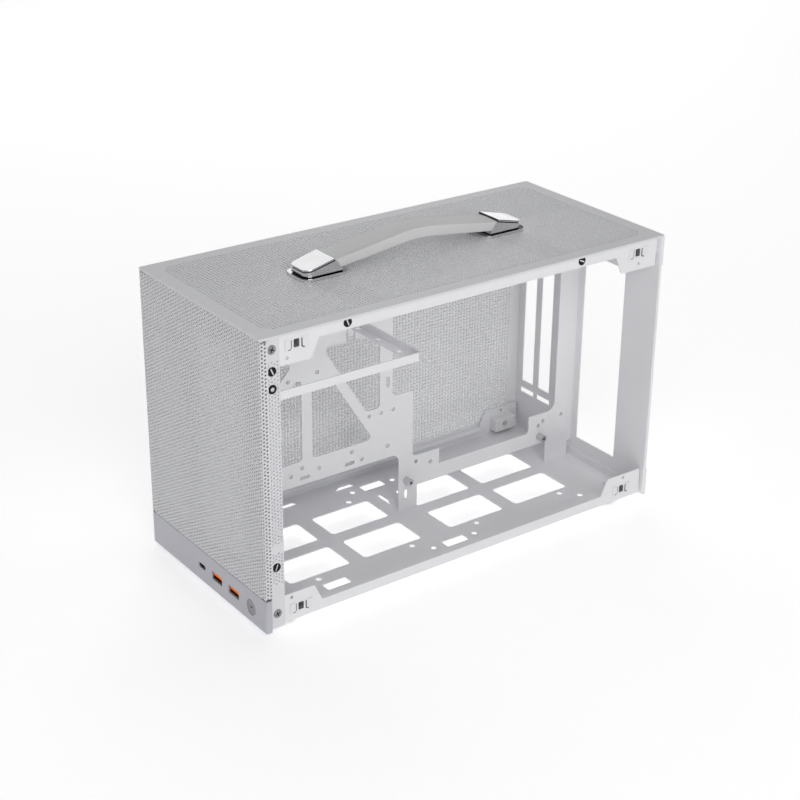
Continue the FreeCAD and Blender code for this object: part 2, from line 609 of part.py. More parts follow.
def top_frame():
    """Ring with side rails, ears, a rear lip and two bars that carry the handle."""
    frame = Piece("top_frame")
    inner = "(%s - ring_wide)" % SIDE
    front, rear = "(%s + ring_wide)" % FRAME, "(%s - ring_wide)" % WALL
    low, high = "(bridge_place - bridge_wide / 2)", "(bridge_place + bridge_wide / 2)"
    windows = [rect("-1 * " + inner, inner, front, "-1 * " + high),
               rect("-1 * " + inner, inner, "-1 * " + low, low), rect("-1 * " + inner, inner, high, rear)]
    border = [("-1 * " + SIDE_IN, FRAME), (SIDE_IN, FRAME), (SIDE_IN, FLANGE_FRONT), (SIDE, FLANGE_FRONT),
              (SIDE, FLANGE_REAR), (SIDE_IN, FLANGE_REAR), (SIDE_IN, WALL), ("-1 * " + SIDE_IN, WALL),
              ("-1 * " + SIDE_IN, FLANGE_REAR), ("-1 * " + SIDE, FLANGE_REAR),
              ("-1 * " + SIDE, FLANGE_FRONT), ("-1 * " + SIDE_IN, FLANGE_FRONT)]
    frame.pad("XY_Plane", RING, "sheet_thick", [border] + windows)
    frame.round(2, [corner for window in windows for corner in window], "plate_round")
    side_flange(frame, COVER, "-", "ear_tall", "rail_high", "upper")
    frame.pad("XZ_Plane", WALL + " - sheet_thick", "sheet_thick",
              [rect("-1 * " + SIDE_IN, SIDE_IN, COVER + " - rear_hook", RING)])


def front_frame():
    """Upright frame behind the mesh, with a bar that holds the dividing plate."""
    frame = Piece("front_frame")
    bar = ("(plate_place - mullion_wide / 2)", "(plate_place + mullion_wide / 2)")
    edge = "(%s - frame_border)" % SIDE
    low, high = "(%s + frame_low)" % FLOOR, "(%s - frame_high)" % RING
    windows = [rect("-1 * " + edge, bar[0], low, high), rect(bar[1], edge, low, high)]
    ports = rect(USB_C + " - usb_c_wide / 2 - window_margin", BUTTON + " + button_wide / 2 + window_margin",
                 "port_level - usb_a_tall / 2 - window_margin", "port_level + usb_a_tall / 2 + window_margin")
    frame.pad("XZ_Plane", FRAME, "sheet_thick",
              [rect("-1 * " + SIDE, SIDE, FLOOR, RING), ports] + windows)
    frame.round(1, [corner for window in windows for corner in window], "plate_round")
    for start in (SIDE_IN, "-1 * " + SIDE):
        frame.pad("YZ_Plane", start, "sheet_thick", [rect(FRAME_IN, FLANGE_FRONT + " - slit_gap", FLOOR, RING)])
    flange = rect("-1 * " + SIDE_IN, SIDE_IN, FRAME_IN, FRAME_IN + " + frame_flange - sheet_thick - slit_gap")
    for start in (FLOOR, RING + " - sheet_thick"):
        frame.pad("XY_Plane", start, "sheet_thick", [flange])


def front_mesh():
    """Front skin folded round both corners to recessed strips beside the front frame."""
    mesh = Piece("front_mesh")
    joint, lap = "(%s)" % FRAME, "(%s - sheet_thick)" % FRAME
    end = "(%s + strip_end)" % FRONT
    outer_in, strip_in = "(%s - sheet_thick)" % OUTER, SIDE
    back = "(%s + sheet_thick)" % FRONT
    near = [(OUTER, FRONT), (OUTER, joint), (STRIP, joint), (STRIP, end), (strip_in, end), (strip_in, lap),
            (outer_in, lap), (outer_in, back)]
    far = [("-1 * " + x, y) for x, y in reversed(near)]
    mesh.pad("XY_Plane", BAND_TOP + " + seam_gap", COVER + " - (" + BAND_TOP + ") - seam_gap", [near + far])
    for name, side in SIDES:
        mesh.pad("XY_Plane", UNDER, BAND_TOP + " + seam_gap - " + UNDER,
                 [rect("%s * %s" % (side, strip_in), "%s * %s" % (side, STRIP), joint, end)])
    mesh.round(2, [(OUTER, FRONT), ("-1 * " + OUTER, FRONT)], "bend_round")


def front_band():
    """Solid band below the mesh, with port holes, side returns and a flange under the tray."""
    band = Piece("front_band")
    low = "(%s - sheet_thick)" % UNDER
    large = [around("%s + %d * usb_a_pitch" % (USB_A, index), "port_level", "(usb_a_wide + 2 * port_gap)",
                    "(usb_a_tall + 2 * port_gap)") for index in range(2)]
    small = around(USB_C, "port_level", "(usb_c_wide + 2 * port_gap)", "(usb_c_tall + 2 * port_gap)")
    band.pad("XZ_Plane", FRONT, "band_thick", [rect("-1 * " + OUTER, OUTER, low, BAND_TOP), small] + large,
             [(BUTTON, "port_level - lamp_deep / 2", "button_wide + 2 * button_gap")])
    band.round(1, small, "usb_c_tall / 2")
    for start in (OUTER + " - band_thick", "-1 * " + OUTER):
        band.pad("YZ_Plane", start, "band_thick",
                 [rect(FRONT + " + band_thick", FRONT + " + band_return", low, BAND_TOP)])
    band.pad("XY_Plane", low, "sheet_thick",
             [rect("-1 * " + SIDE, SIDE, FRONT + " + band_thick", FRONT + " + band_foot")])
    band.round(2, [(OUTER, FRONT), ("-1 * " + OUTER, FRONT)], "bend_round")


def rear_panel():
    """Rear wall with the connector aperture, two card slots and shallow side returns."""
    wall = Piece("rear_panel")
    left = "(plate_place + standoff_tall + shield_under)"
    shield = rect(left, left + " + shield_wide", FLOOR + " + shield_level",
                  FLOOR + " + shield_level + shield_tall")
    slots, tongues = [], []
    for index in range(2):
        start = "(slot_inset + %d * slot_pitch - %s)" % (index, OUTER)
        level = "(%s + slot_level)" % FLOOR
        slots.append(rect(start, start + " + slot_wide", level, level + " + slot_tall"))
        tongues.append(around(start + " + slot_wide / 2", level + " - tab_slot_drop - tab_slot_tall / 2",
                              "tab_slot_wide", "tab_slot_tall"))
    wall.pad("XZ_Plane", WALL, "sheet_thick",
             [rect("-1 * " + OUTER, OUTER, UNDER, COVER), shield] + slots + tongues)
    for start in (OUTER + " - sheet_thick", "-1 * " + OUTER):
        back, deep = "(%s + sheet_thick)" % WALL, REAR
        shallow = "(%s + wall_return)" % WALL
        wall.pad("YZ_Plane", start, "sheet_thick",
                 [[(back, UNDER), (deep, UNDER), (deep, UNDER + " + wall_tab"),
                   (shallow, UNDER + " + wall_tab"), (shallow, COVER + " - wall_tab"),
                   (deep, COVER + " - wall_tab"), (deep, COVER), (back, COVER)]])
    wall.round(2, [(OUTER, WALL), ("-1 * " + OUTER, WALL)], "wall_round")


def before(name):
    """A place on the dividing plate, measured forward from the rear wall."""
    return "(%s - %s)" % (WALL, name)


def above(name):
    """A height above the floor."""
    return "(%s + %s)" % (FLOOR, name)


def board_spots():
    """The four board standoffs, as (y, z)."""
    rear = "(board_back + hole_back)"
    low_rear = "(board_back + hole_low_back)"
    front = "(board_back + hole_low_back + hole_span)"
    high = "(hole_level + hole_rise)"
    return [(before(front), above("hole_level")), (before(low_rear), above("hole_level")),
            (before(front), above(high)), (before(rear), above(high))]


def dividing_plate():
    """Upright plate that carries the board, opened into a truss at the front."""
    plate = Piece("dividing_plate")
    low, under, beam = FLOOR, above("plate_under"), above("beam_under")
    leg, leg_end = before("leg_place"), before("(leg_place - leg_front)")
    rear_leg = before("(leg_gap + leg_rear)")
    outline = [(FRAME_IN, under), (leg, under), (leg, low), (leg_end, low), (leg_end, beam), (rear_leg, beam),
               (rear_leg, low), (before("leg_gap"), low), (before("leg_gap"), above("leg_notch")),
               (before("sheet_thick"), above("leg_notch")), (before("sheet_thick"), RING),
               (FRAME_IN + " + frame_flange", RING), (FRAME_IN + " + frame_flange", RING + " - sheet_thick"),
               (FRAME_IN, RING + " - sheet_thick")]
    front = "(%s + plate_front)" % FRONT
    strut, strut_end = before("(strut_place + strut_wide / 2)"), before("(strut_place - strut_wide / 2)")
    foot, top, middle = above("truss_level"), above("truss_top"), above("truss_mid")
    hook, hook_start = above("(truss_top + hook_tall)"), before("(hook_place + hook_wide / 2)")
    hook_end = before("(hook_place - hook_wide / 2)")
    lean = "(brace_run * (truss_mid - truss_level) / (truss_top - brace_level))"
    toe = "(truss_level + gusset_toe)"
    fall = "(gusset_foot - %s) / (%s - %s)" % (toe, strut, front)
    slope = "(gusset_top - %s - gusset_wide) / (%s - %s)" % (toe, before("gusset_place"), front)
    under_hole = "gusset_foot - brace_hole * " + fall
    over_hole = "gusset_top - (%s - %s + brace_hole) * %s" % (before("gusset_place"), strut, slope)
    truss = [
        [(front, above(toe + " + gusset_wide")), (before("gusset_place"), above("gusset_top")),
         (front, above("gusset_top"))],
        [(front, foot), (strut, foot), (strut, above("gusset_foot")), (front, above(toe))],
        [(strut_end, foot), (before("brace_toe"), foot), (before("(brace_toe + %s)" % lean), middle),
         (strut_end, middle)],
        [(before("brace_foot"), above("brace_level")), (before("bar_front"), above("brace_level")),
         (before("bar_front"), top), (hook_end, top), (hook_end, hook), (hook_start, hook), (hook_start, top),
         (before("(brace_foot + brace_run)"), top)],
    ]
    bay = [(before("bar_rear"), above("panel_top")), (before("panel_edge"), above("panel_top")),
           (before("panel_edge"), above("shelf_top")), (before("panel_step"), above("shelf_top")),
           (before("panel_step"), above("beam_top")), (before("post_foot"), above("beam_top")),
           (before("post_foot"), above("post_level")), (before("post_wide"), above("post_level")),
           (before("post_wide"), above("bay_top")), (before("bar_rear"), above("bay_top"))]
    holes = [(y, z, "standoff_bore") for y, z in board_spots()]
    holes += [(before("hole_%s_back" % key), above("hole_%s_up" % key), "plate_hole")
              for key in "abcdefghijklmno"]
    holes.append((strut + " - brace_hole", above("(%s + %s) / 2" % (under_hole, over_hole)), "plate_hole"))
    ties = [around(before("tie_%s_back" % key), above("tie_%s_up" % key), *lie)
            for key, lie in zip("abcd", (("tie_long", "tie_wide"),) * 2 + (("tie_wide", "tie_long"),) * 2)]
    plate.pad("YZ_Plane", PLATE_FAR, "sheet_thick", [outline] + truss + [bay] + ties, holes)
    corners = [corner for opening in truss[:3] for corner in opening] + truss[3][:3] + truss[3][7:]
    plate.round(0, corners + bay[:3] + bay[5:6], "plate_round")
    plate.round(0, [outline[1], bay[7]], "arch_round")
    plate.round(0, [corner for tie in ties for corner in tie], "tie_wide / 2.1")
    plate.pad("XZ_Plane", WALL + " - sheet_thick", "sheet_thick",
              [rect("plate_place - plate_flange", "plate_place", above("leg_notch"),
                    COVER + " - rear_hook - slit_gap")])


def supply_bracket():
    """Angle strip bent round the supply, from the front frame to the dividing plate."""
    bracket = Piece("supply_bracket")
    low = above("bracket_level")
    high = "(%s + bracket_tall)" % low
    outer, inner = SIDE_IN, "(%s - sheet_thick)" % SIDE_IN
    rear, back = "(%s + bracket_rear)" % FRONT, "(%s + bracket_rear - sheet_thick)" % FRONT
    strip = [(outer, FRAME_IN), (outer, rear), ("plate_place", rear), ("plate_place", back), (inner, back),
             (inner, FRAME_IN)]
    bracket.pad("XY_Plane", low, "bracket_tall", [strip])
    bracket.round(2, [(outer, rear)], "bracket_round")
    bracket.round(2, [(inner, back)], "bracket_round - sheet_thick")
    ledge, sill = "(%s - bracket_ledge)" % inner, "(%s - bracket_sill)" % back
    bracket.pad("XY_Plane", low, "sheet_thick",
                [[(inner, FRAME_IN), (inner, back), ("plate_place + sheet_thick", back),
                  ("plate_place + sheet_thick", sill), (ledge, sill), (ledge, FRAME_IN)]])
    tab = rect(rear + " - bracket_tab", rear, low + " - bracket_drop", high)
    bracket.pad("YZ_Plane", "plate_place", "sheet_thick", [tab])
    bracket.round(0, tab[:2], "bracket_tab / 2.1")
    holes = [("plate_place + bracket_first + bracket_holes * %d" % index, back + " - bracket_hole_set",
              "bracket_hole") for index in range(3)]
    bracket.pad("XY_Plane", low, "sheet_thick", (), holes, cut=True)


def covers():
    """The flat top cover and the flat lift-off side panel."""
    cover = Piece("top_panel")
    cover.pad("XY_Plane", COVER, "cover_thick", [rect("-1 * " + OUTER, OUTER, FRONT, REAR)])
    cover.round(2, rect("-1 * " + OUTER, OUTER, FRONT, REAR), "cover_thick")
    panel = Piece("side_panel")
    outline = rect(FRAME + " + panel_gap", WALL + " - panel_gap", UNDER + " + panel_gap",
                   COVER + " - panel_gap")
    panel.pad("YZ_Plane", "-1 * " + OUTER, "cover_thick", [outline])
    panel.round(0, outline, "cover_thick")


def panel_clips():
    """Sprung plastic sockets in the ears: two bevelled pads outside and a bored body inside."""
    for side_name, side in SIDES:
        for name, y, z in clip_spots():
            clip = Piece("clip_%s_%s" % (side_name, name))
            hand = side == "1"
            clip.pad("YZ_Plane", SIDE_IN + " - clip_deep" if hand else "-1 * " + SIDE_IN, "clip_deep",
                     [around(y, z, "clip_body_long", "clip_body")], [(y, z, "clip_bore")])
            clip.pad("YZ_Plane", SIDE_IN if hand else "-1 * %s - clip_proud" % SIDE,
                     "sheet_thick + clip_proud", [clip_pad(y, z, "+"), clip_pad(y, z, "-")])


def clip_pad(y, z, sign):
    """One pad of a clip, with its two outer corners bevelled."""
    inner = "%s %s (clip_long / 2 - clip_pad)" % (y, sign)
    edge = "%s %s (clip_long / 2 - clip_bevel)" % (y, sign)
    outer = "%s %s clip_long / 2" % (y, sign)
    low, high = "%s - clip_tall / 2" % z, "%s + clip_tall / 2" % z
    return [(inner, low), (edge, low), (outer, low + " + clip_bevel"), (outer, high + " - clip_bevel"),
            (edge, high), (inner, high)]


def panel_studs():
    """Flared studs of the side panel, one in each far clip."""
    studs = []
    face = "(-1 * %s + cover_thick)" % OUTER
    for name, y, z in clip_spots():
        neck = solid("Cylinder", Radius="stud_neck / 2", Height="stud_reach", turn=ALONG_X, x=face, y=y, z=z)
        flare = solid("Cone", Radius1="stud_neck / 2", Radius2="stud_head / 2", Height="stud_flare",
                      turn=ALONG_X, x=face + " + stud_reach", y=y, z=z)
        nose = solid("Cone", Radius1="stud_head / 2", Radius2="stud_tip / 2", Height="stud_nose",
                     turn=ALONG_X, x=face + " + stud_reach + stud_flare", y=y, z=z)
        studs.append(fuse(neck, flare, nose))
    group("panel_studs", studs)


def feet():
    """Rubber feet under the tray."""
    for name, x, y in (("near_front", OUTER + " - foot_inset", FRONT + " + foot_front"),
                       ("near_rear", OUTER + " - foot_inset", REAR + " - foot_rear"),
                       ("far_front", "foot_inset - " + OUTER, FRONT + " + foot_front"),
                       ("far_rear", "foot_inset - " + OUTER, REAR + " - foot_rear")):
        bevel = solid("Cone", Radius1="foot_wide / 2 - foot_bevel", Radius2="foot_wide / 2",
                      Height="foot_bevel", x=x, y=y)
        puck = solid("Cylinder", Radius="foot_wide / 2", Height="foot_drop - foot_bevel",
                     x=x, y=y, z="foot_bevel")
        keep(fuse(bevel, puck), "foot_" + name)


def standoffs():
    """Hexagonal standoffs for the board."""
    posts = []
    for y, z in board_spots():
        post = solid("Prism", Circumradius="standoff_wide / 1.732", Height="standoff_tall", turn=ALONG_X,
                     x="plate_place", y=y, z=z)
        bore = solid("Cylinder", Radius="standoff_bore / 2", Height="standoff_tall", turn=ALONG_X,
                     x="plate_place", y=y, z=z)
        posts.append(cut(post, bore))
    group("board_standoffs", posts)


def screws():
    """Low slotted screws in the side strips and the top rails, in three groups."""
    strip_y = "(%s + screw_inset)" % FRONT
    bracket = ["(%s - screw_level_bracket)" % CROWN]
    strip = ["(%s + screw_level_low)" % UNDER, "(%s + screw_level_mid)" % UNDER,
             "(%s - screw_level_upper)" % CROWN, "(%s - screw_level_top)" % CROWN]
    rail = "(%s - rail_screw_drop)" % CROWN
    ends = ["(%s + rail_screw_front)" % FRONT, "(%s - rail_screw_rear)" % REAR]
    for label, face, spots in (("strip_screws", STRIP, [(strip_y, z) for z in strip]),
                               ("bracket_screws", STRIP, [(strip_y, z) for z in bracket]),
                               ("rail_screws", SIDE, [(y, rail) for y in ends])):
        heads = []
        for name, side in SIDES:
            for y, z in spots:
                start = face if side == "1" else "-1 * %s - screw_tall" % face
                head = solid("Cylinder", Radius="screw_head / 2", Height="screw_tall", turn=ALONG_X,
                             x=start, y=y, z=z)
                slot_x = face + " + screw_tall - screw_cut" if side == "1" else start
                slot = solid("Box", Length="screw_cut", Width="screw_slot", Height="screw_head",
                             x=slot_x, y=y + " - screw_slot / 2", z=z + " - screw_head / 2")
                heads.append(cut(head, slot))
        group(label, heads)


def ports():
    """Two large ports and a small one: metal shells with plastic tongues."""
    start = "(%s + band_thick / 2)" % FRONT
    for index in range(2):
        place = "(%s + %d * usb_a_pitch)" % (USB_A, index)
        shell = Piece("usb_a_shell_%d" % (index + 1))
        inside = around(place, "port_level", "(usb_a_wide - 2 * port_wall)", "(usb_a_tall - 2 * port_wall)")
        shell.pad("XZ_Plane", start, "port_deep",
                  [around(place, "port_level", "usb_a_wide", "usb_a_tall"), inside])
        tongue = Piece("usb_a_tongue_%d" % (index + 1))
        tongue.pad("XZ_Plane", start + " + port_deep - port_block", "port_block", [inside])
        tongue.pad("XZ_Plane", start + " + port_set", "port_deep - port_block - port_set",
                   [around(place, "(port_level + tongue_lift)", "tongue_wide", "usb_a_tongue")])
    small = Piece("usb_c_shell")
    outline = around(USB_C, "port_level", "usb_c_wide", "usb_c_tall")
    hollow = around(USB_C, "port_level", "(usb_c_wide - 2 * port_wall)", "(usb_c_tall - 2 * port_wall)")
    small.pad("XZ_Plane", start, "usb_c_deep", [outline, hollow])
    small.round(1, outline, "usb_c_tall / 2.1")
    small.round(1, hollow, "usb_c_tall / 2.1 - port_wall")
    seat = "(port_level - usb_a_tall / 2)"
    small.pad("XZ_Plane", start + " + usb_c_deep / 2", "usb_c_deep / 2",
              [rect(USB_C + " - usb_c_wide / 4", USB_C + " + usb_c_wide / 4", seat,
                    "port_level - usb_c_tall / 2 + port_wall / 2")])
    tip = Piece("usb_c_tongue")
    tip.pad("XZ_Plane", start + " + usb_c_deep * 3 / 4", "usb_c_deep / 4",
            [around(USB_C, "port_level", "(usb_c_wide / 2)", "(usb_c_tall - 2 * port_wall)")])
    tip.pad("XZ_Plane", start + " + port_set", "usb_c_deep * 3 / 4 - port_set",
            [around(USB_C, "port_level", "usb_c_tongue_wide", "usb_c_tongue")])


def circuit():
    """Port board on two spacers behind the band, with the power switch on it."""
    left, right = "(%s - circuit_rim)" % USB_C, "(%s + circuit_rim)" % BUTTON
    top = "(port_level - usb_a_tall / 2)"
    low = "(%s - circuit_thick)" % top
    front, back = "(%s + slit_gap)" % FRAME_IN, "(%s + slit_gap + circuit_deep)" % FRAME_IN
    board = Piece("port_board")
    board.pad("XY_Plane", low, "circuit_thick", [rect(left, right, front, back)])
    posts = [solid("Cylinder", Radius="spacer_wide / 2", Height="%s - %s" % (low, FLOOR), x=x,
                   y=back + " - spacer_wide", z=FLOOR)
             for x in (left + " + spacer_wide", right + " - spacer_wide")]
    group("board_spacers", posts)
    switch = Piece("power_switch")
    level = "(port_level - lamp_deep / 2)"
    switch.pad("XZ_Plane", front, "switch_wide",
               [rect(BUTTON + " - switch_wide / 2", BUTTON + " + switch_wide / 2", top,
                     level + " + switch_wide / 2")])
    tip = "(%s + band_thick + button_rim + button_travel + plunger_gap)" % FRONT
    switch.pad("XZ_Plane", tip, front + " - " + tip, (), [(BUTTON, level, "plunger_wide")])


def power_button():
    """Dished round button with a retaining rim behind the band and a pin hole for its lamp."""
    level = "(port_level - lamp_deep / 2)"
    face = "(%s + button_set)" % FRONT
    inner = "(%s + band_thick)" % FRONT
    barrel = solid("Cylinder", Radius="button_wide / 2", Height="band_thick - button_set", turn=ALONG_Y,
                   x=BUTTON, y=face, z=level)
    rim = solid("Cylinder", Radius="button_wide / 2 + button_rim", Height="button_rim", turn=ALONG_Y,
                x=BUTTON, y=inner, z=level)
    dish = solid("Sphere", Radius="button_dish", x=BUTTON,
                 y=face + " - sqrt(button_dish ^ 2 - (button_wide / 2 - port_wall) ^ 2)", z=level)
    hole = solid("Cylinder", Radius="lamp_hole / 2", Height="lamp_deep", turn=ALONG_Y,
                 x=BUTTON, y=face, z=level)
    keep(cut(cut(fuse(barrel, rim), dish), hole), "power_button")


def handle():
    """Strap between two wedge blocks on foot plates."""
    seat = "(%s + base_thick)" % CROWN
    for name, sign in (("front", "-1"), ("rear", "1")):
        base = Piece("handle_base_" + name)
        outline = rect("-base_wide / 2", "base_wide / 2", sign + " * base_outer", sign + " * base_inner")
        base.pad("XY_Plane", CROWN, "base_thick", [outline])
        base.round(2, outline, "base_round")
        cap = Piece("handle_cap_" + name)
        wedge = [(sign + " * cap_outer", seat), (sign + " * cap_outer", CROWN + " + cap_low"),
                 (sign + " * cap_inner", CROWN + " + cap_high"), (sign + " * cap_toe", seat)]
        cap.pad("YZ_Plane", "-cap_wide / 2", "cap_wide", [wedge])
        cap.round(2, [(edge, sign + " * cap_outer") for edge in ("-cap_wide / 2", "cap_wide / 2")], "cap_round")
    strap()


def strap():
    """Padded strap: straight ends that rise to a rounded crown."""
    piece = Piece("handle_strap")
    sketch = piece.drawing("YZ_Plane", "-strap_wide / 2")
    crown = "(%s + strap_rise)" % CROWN
    end_top = (("-cap_inner", CROWN + " + cap_high"), ("cap_inner", CROWN + " + cap_high"))
    low_y = "(cap_inner - (cap_inner - cap_toe) * strap_end / (cap_high - base_thick))"
    low_z = "(%s + cap_high - strap_end)" % CROWN
    end_low = (("-1 * " + low_y, low_z), (low_y, low_z))
    inner_radius, inner_crown = "(strap_radius - strap_thick)", "(%s - strap_thick)" % crown
    shapes = rise("strap_radius", crown, end_top)
    shapes += rise(inner_radius, inner_crown, end_low)
    shapes.append(Part.LineSegment(shapes[0].StartPoint, shapes[3].StartPoint))
    shapes.append(Part.LineSegment(shapes[2].EndPoint, shapes[5].EndPoint))
    sketch.addGeometry(shapes, False)
    rules, amounts = [], []
    for first, ends, radius, height in ((0, end_top, "strap_radius", crown),
                                        (3, end_low, inner_radius, inner_crown)):
        left, arc, right = first, first + 1, first + 2
        rules.append(Sketcher.Constraint("Tangent", left, 2, arc, 2))
        rules.append(Sketcher.Constraint("Tangent", right, 1, arc, 1))
        rules.append(Sketcher.Constraint("PointOnObject", arc, 3, -2))
        for number, point, kind, text in (
                (left, 1, "DistanceX", ends[0][0]), (left, 1, "DistanceY", ends[0][1]),
                (right, 2, "DistanceX", ends[1][0]), (right, 2, "DistanceY", ends[1][1]),
                (arc, 3, "DistanceY", "%s - %s" % (height, radius))):
            amounts.append((len(rules), text))
            rules.append(Sketcher.Constraint(kind, -1, 1, number, point, size(text)))
        amounts.append((len(rules), radius))
        rules.append(Sketcher.Constraint("Radius", arc, size(radius)))
    for line, start, end in ((6, (0, 1), (3, 1)), (7, (2, 2), (5, 2))):
        rules.append(Sketcher.Constraint("Coincident", line, 1, start[0], start[1]))
        rules.append(Sketcher.Constraint("Coincident", line, 2, end[0], end[1]))
    sketch.addConstraint(rules)
    for number, text in amounts:
        sketch.setExpression("Constraints[%d]" % number, bound(text))
    raised = piece.body.newObject("PartDesign::Pad", "Raise")
    raised.Profile = sketch
    raised.setExpression("Length", bound("strap_wide"))
    doc.recompute()
    half = size("strap_wide") / 2
    names = ["Edge%d" % number for number, edge in enumerate(raised.Shape.Edges, start=1)
             if abs(abs(edge.CenterOfMass.x) - half) < 1e-6 and edge.BoundBox.YLength > size("strap_thick")]
    soft = piece.body.newObject("PartDesign::Fillet", "Round")
    soft.Base = (raised, names)
    soft.setExpression("Radius", bound("strap_round"))
    doc.recompute()


def rise(radius, height, ends):
    """A first guess of a line, crown arc and line, for the sketch to settle."""
    centre = FreeCAD.Vector(0, size(height) - size(radius), 0)
    spread = math.atan2(size("strap_rise") - size("cap_high"), size("cap_inner"))
    left, right = (FreeCAD.Vector(size(y), size(z), 0) for y, z in ends)
    circle = Part.Circle(centre, FreeCAD.Vector(0, 0, 1), size(radius))
    arc = Part.ArcOfCircle(circle, math.pi / 2 - spread, math.pi / 2 + spread)
    return [Part.LineSegment(left, arc.EndPoint), arc, Part.LineSegment(arc.StartPoint, right)]


bottom_tray()
top_frame()
front_frame()
rear_panel()
dividing_plate()
supply_bracket()
front_mesh()
front_band()
covers()
panel_clips()
panel_studs()
feet()
standoffs()
screws()
ports()
circuit()
power_button()
handle()
doc.recompute()

for thing in doc.Objects:
    if any(flag in thing.State for flag in ("Invalid", "Error")):
        raise RuntimeError("failed: %s (%s)" % (thing.Label, thing.State))
for part in parts:
    if part.Shape.isNull() or not part.Shape.isValid():
        raise RuntimeError("bad shape: " + part.Label)

os.makedirs("parts", exist_ok=True)
for part in parts:
    part.Shape.exportStep("parts/%s.step" % part.Label)
    print(part.Label, len(part.Shape.Solids), round(part.Shape.Volume, 1))
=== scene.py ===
"""Looks of a mini-tower computer case: perforated skins, finishes, small parts, light and camera.

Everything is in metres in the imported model's frame: +Z up, -Y the front, +X the open side.
"""
import json
import logging
import math
from dataclasses import dataclass
from enum import Enum
from typing import Callable, Iterable, Sequence, Union

import bmesh
import bpy
from mathutils import Matrix, Vector


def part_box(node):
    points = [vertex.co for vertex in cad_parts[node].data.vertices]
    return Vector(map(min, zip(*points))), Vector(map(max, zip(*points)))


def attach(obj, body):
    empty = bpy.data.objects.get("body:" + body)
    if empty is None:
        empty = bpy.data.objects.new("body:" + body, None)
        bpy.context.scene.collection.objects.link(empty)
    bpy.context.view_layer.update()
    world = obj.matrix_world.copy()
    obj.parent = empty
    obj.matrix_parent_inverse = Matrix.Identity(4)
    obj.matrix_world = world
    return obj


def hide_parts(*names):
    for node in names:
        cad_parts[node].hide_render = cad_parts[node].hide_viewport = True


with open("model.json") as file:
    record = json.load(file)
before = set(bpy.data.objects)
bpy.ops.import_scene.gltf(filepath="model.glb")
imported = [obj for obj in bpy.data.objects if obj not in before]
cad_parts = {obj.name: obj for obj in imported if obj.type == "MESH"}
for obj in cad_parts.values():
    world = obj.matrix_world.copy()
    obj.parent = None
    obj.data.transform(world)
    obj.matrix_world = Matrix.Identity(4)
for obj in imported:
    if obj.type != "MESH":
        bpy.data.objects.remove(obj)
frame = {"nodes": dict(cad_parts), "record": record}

LOG = logging.getLogger("case")
MM = 0.001

Corners = Sequence[int]
Spot = tuple[float, float]
Triple = tuple[float, float, float]
Colour = Triple


class Wire:
    """One output socket, with arithmetic that adds maths nodes to its tree."""

    def __init__(self, tree: "Tree", socket: bpy.types.NodeSocket) -> None:
        """Wrap a socket.

        Args:
            tree: The tree that the socket belongs to.
            socket: The output socket.
        """
        self.tree = tree
        self.socket = socket

    def __add__(self, other: "Value") -> "Wire":
        """Sum of two values."""
        return self.tree.maths("ADD", self, other)

    def __radd__(self, other: "Value") -> "Wire":
        """Sum with a number on the left."""
        return self.tree.maths("ADD", other, self)

    def __sub__(self, other: "Value") -> "Wire":
        """Difference of two values."""
        return self.tree.maths("SUBTRACT", self, other)

    def __rsub__(self, other: "Value") -> "Wire":
        """Difference with a number on the left."""
        return self.tree.maths("SUBTRACT", other, self)

    def __mul__(self, other: "Value") -> "Wire":
        """Product of two values."""
        return self.tree.maths("MULTIPLY", self, other)

    def __rmul__(self, other: "Value") -> "Wire":
        """Product with a number on the left."""
        return self.tree.maths("MULTIPLY", other, self)

    def __pow__(self, other: "Value") -> "Wire":
        """Power of two values."""
        return self.tree.maths("POWER", self, other)

    def __rpow__(self, other: "Value") -> "Wire":
        """Power with a number on the left."""
        return self.tree.maths("POWER", other, self)

    def sine(self) -> "Wire":
        """Sine of the value."""
        return self.tree.maths("SINE", self)

    def span(self, low: float, high: float) -> "Wire":
        """Map the value from low..high to 0..1, clamped.

        Args:
            low: Value that becomes 0.
            high: Value that becomes 1.

        Returns:
            The mapped value.
        """
        return self.tree.add("ShaderNodeMapRange", {"clamp": True}, {0: self, 1: low, 2: high})


Value = Union[Wire, float]


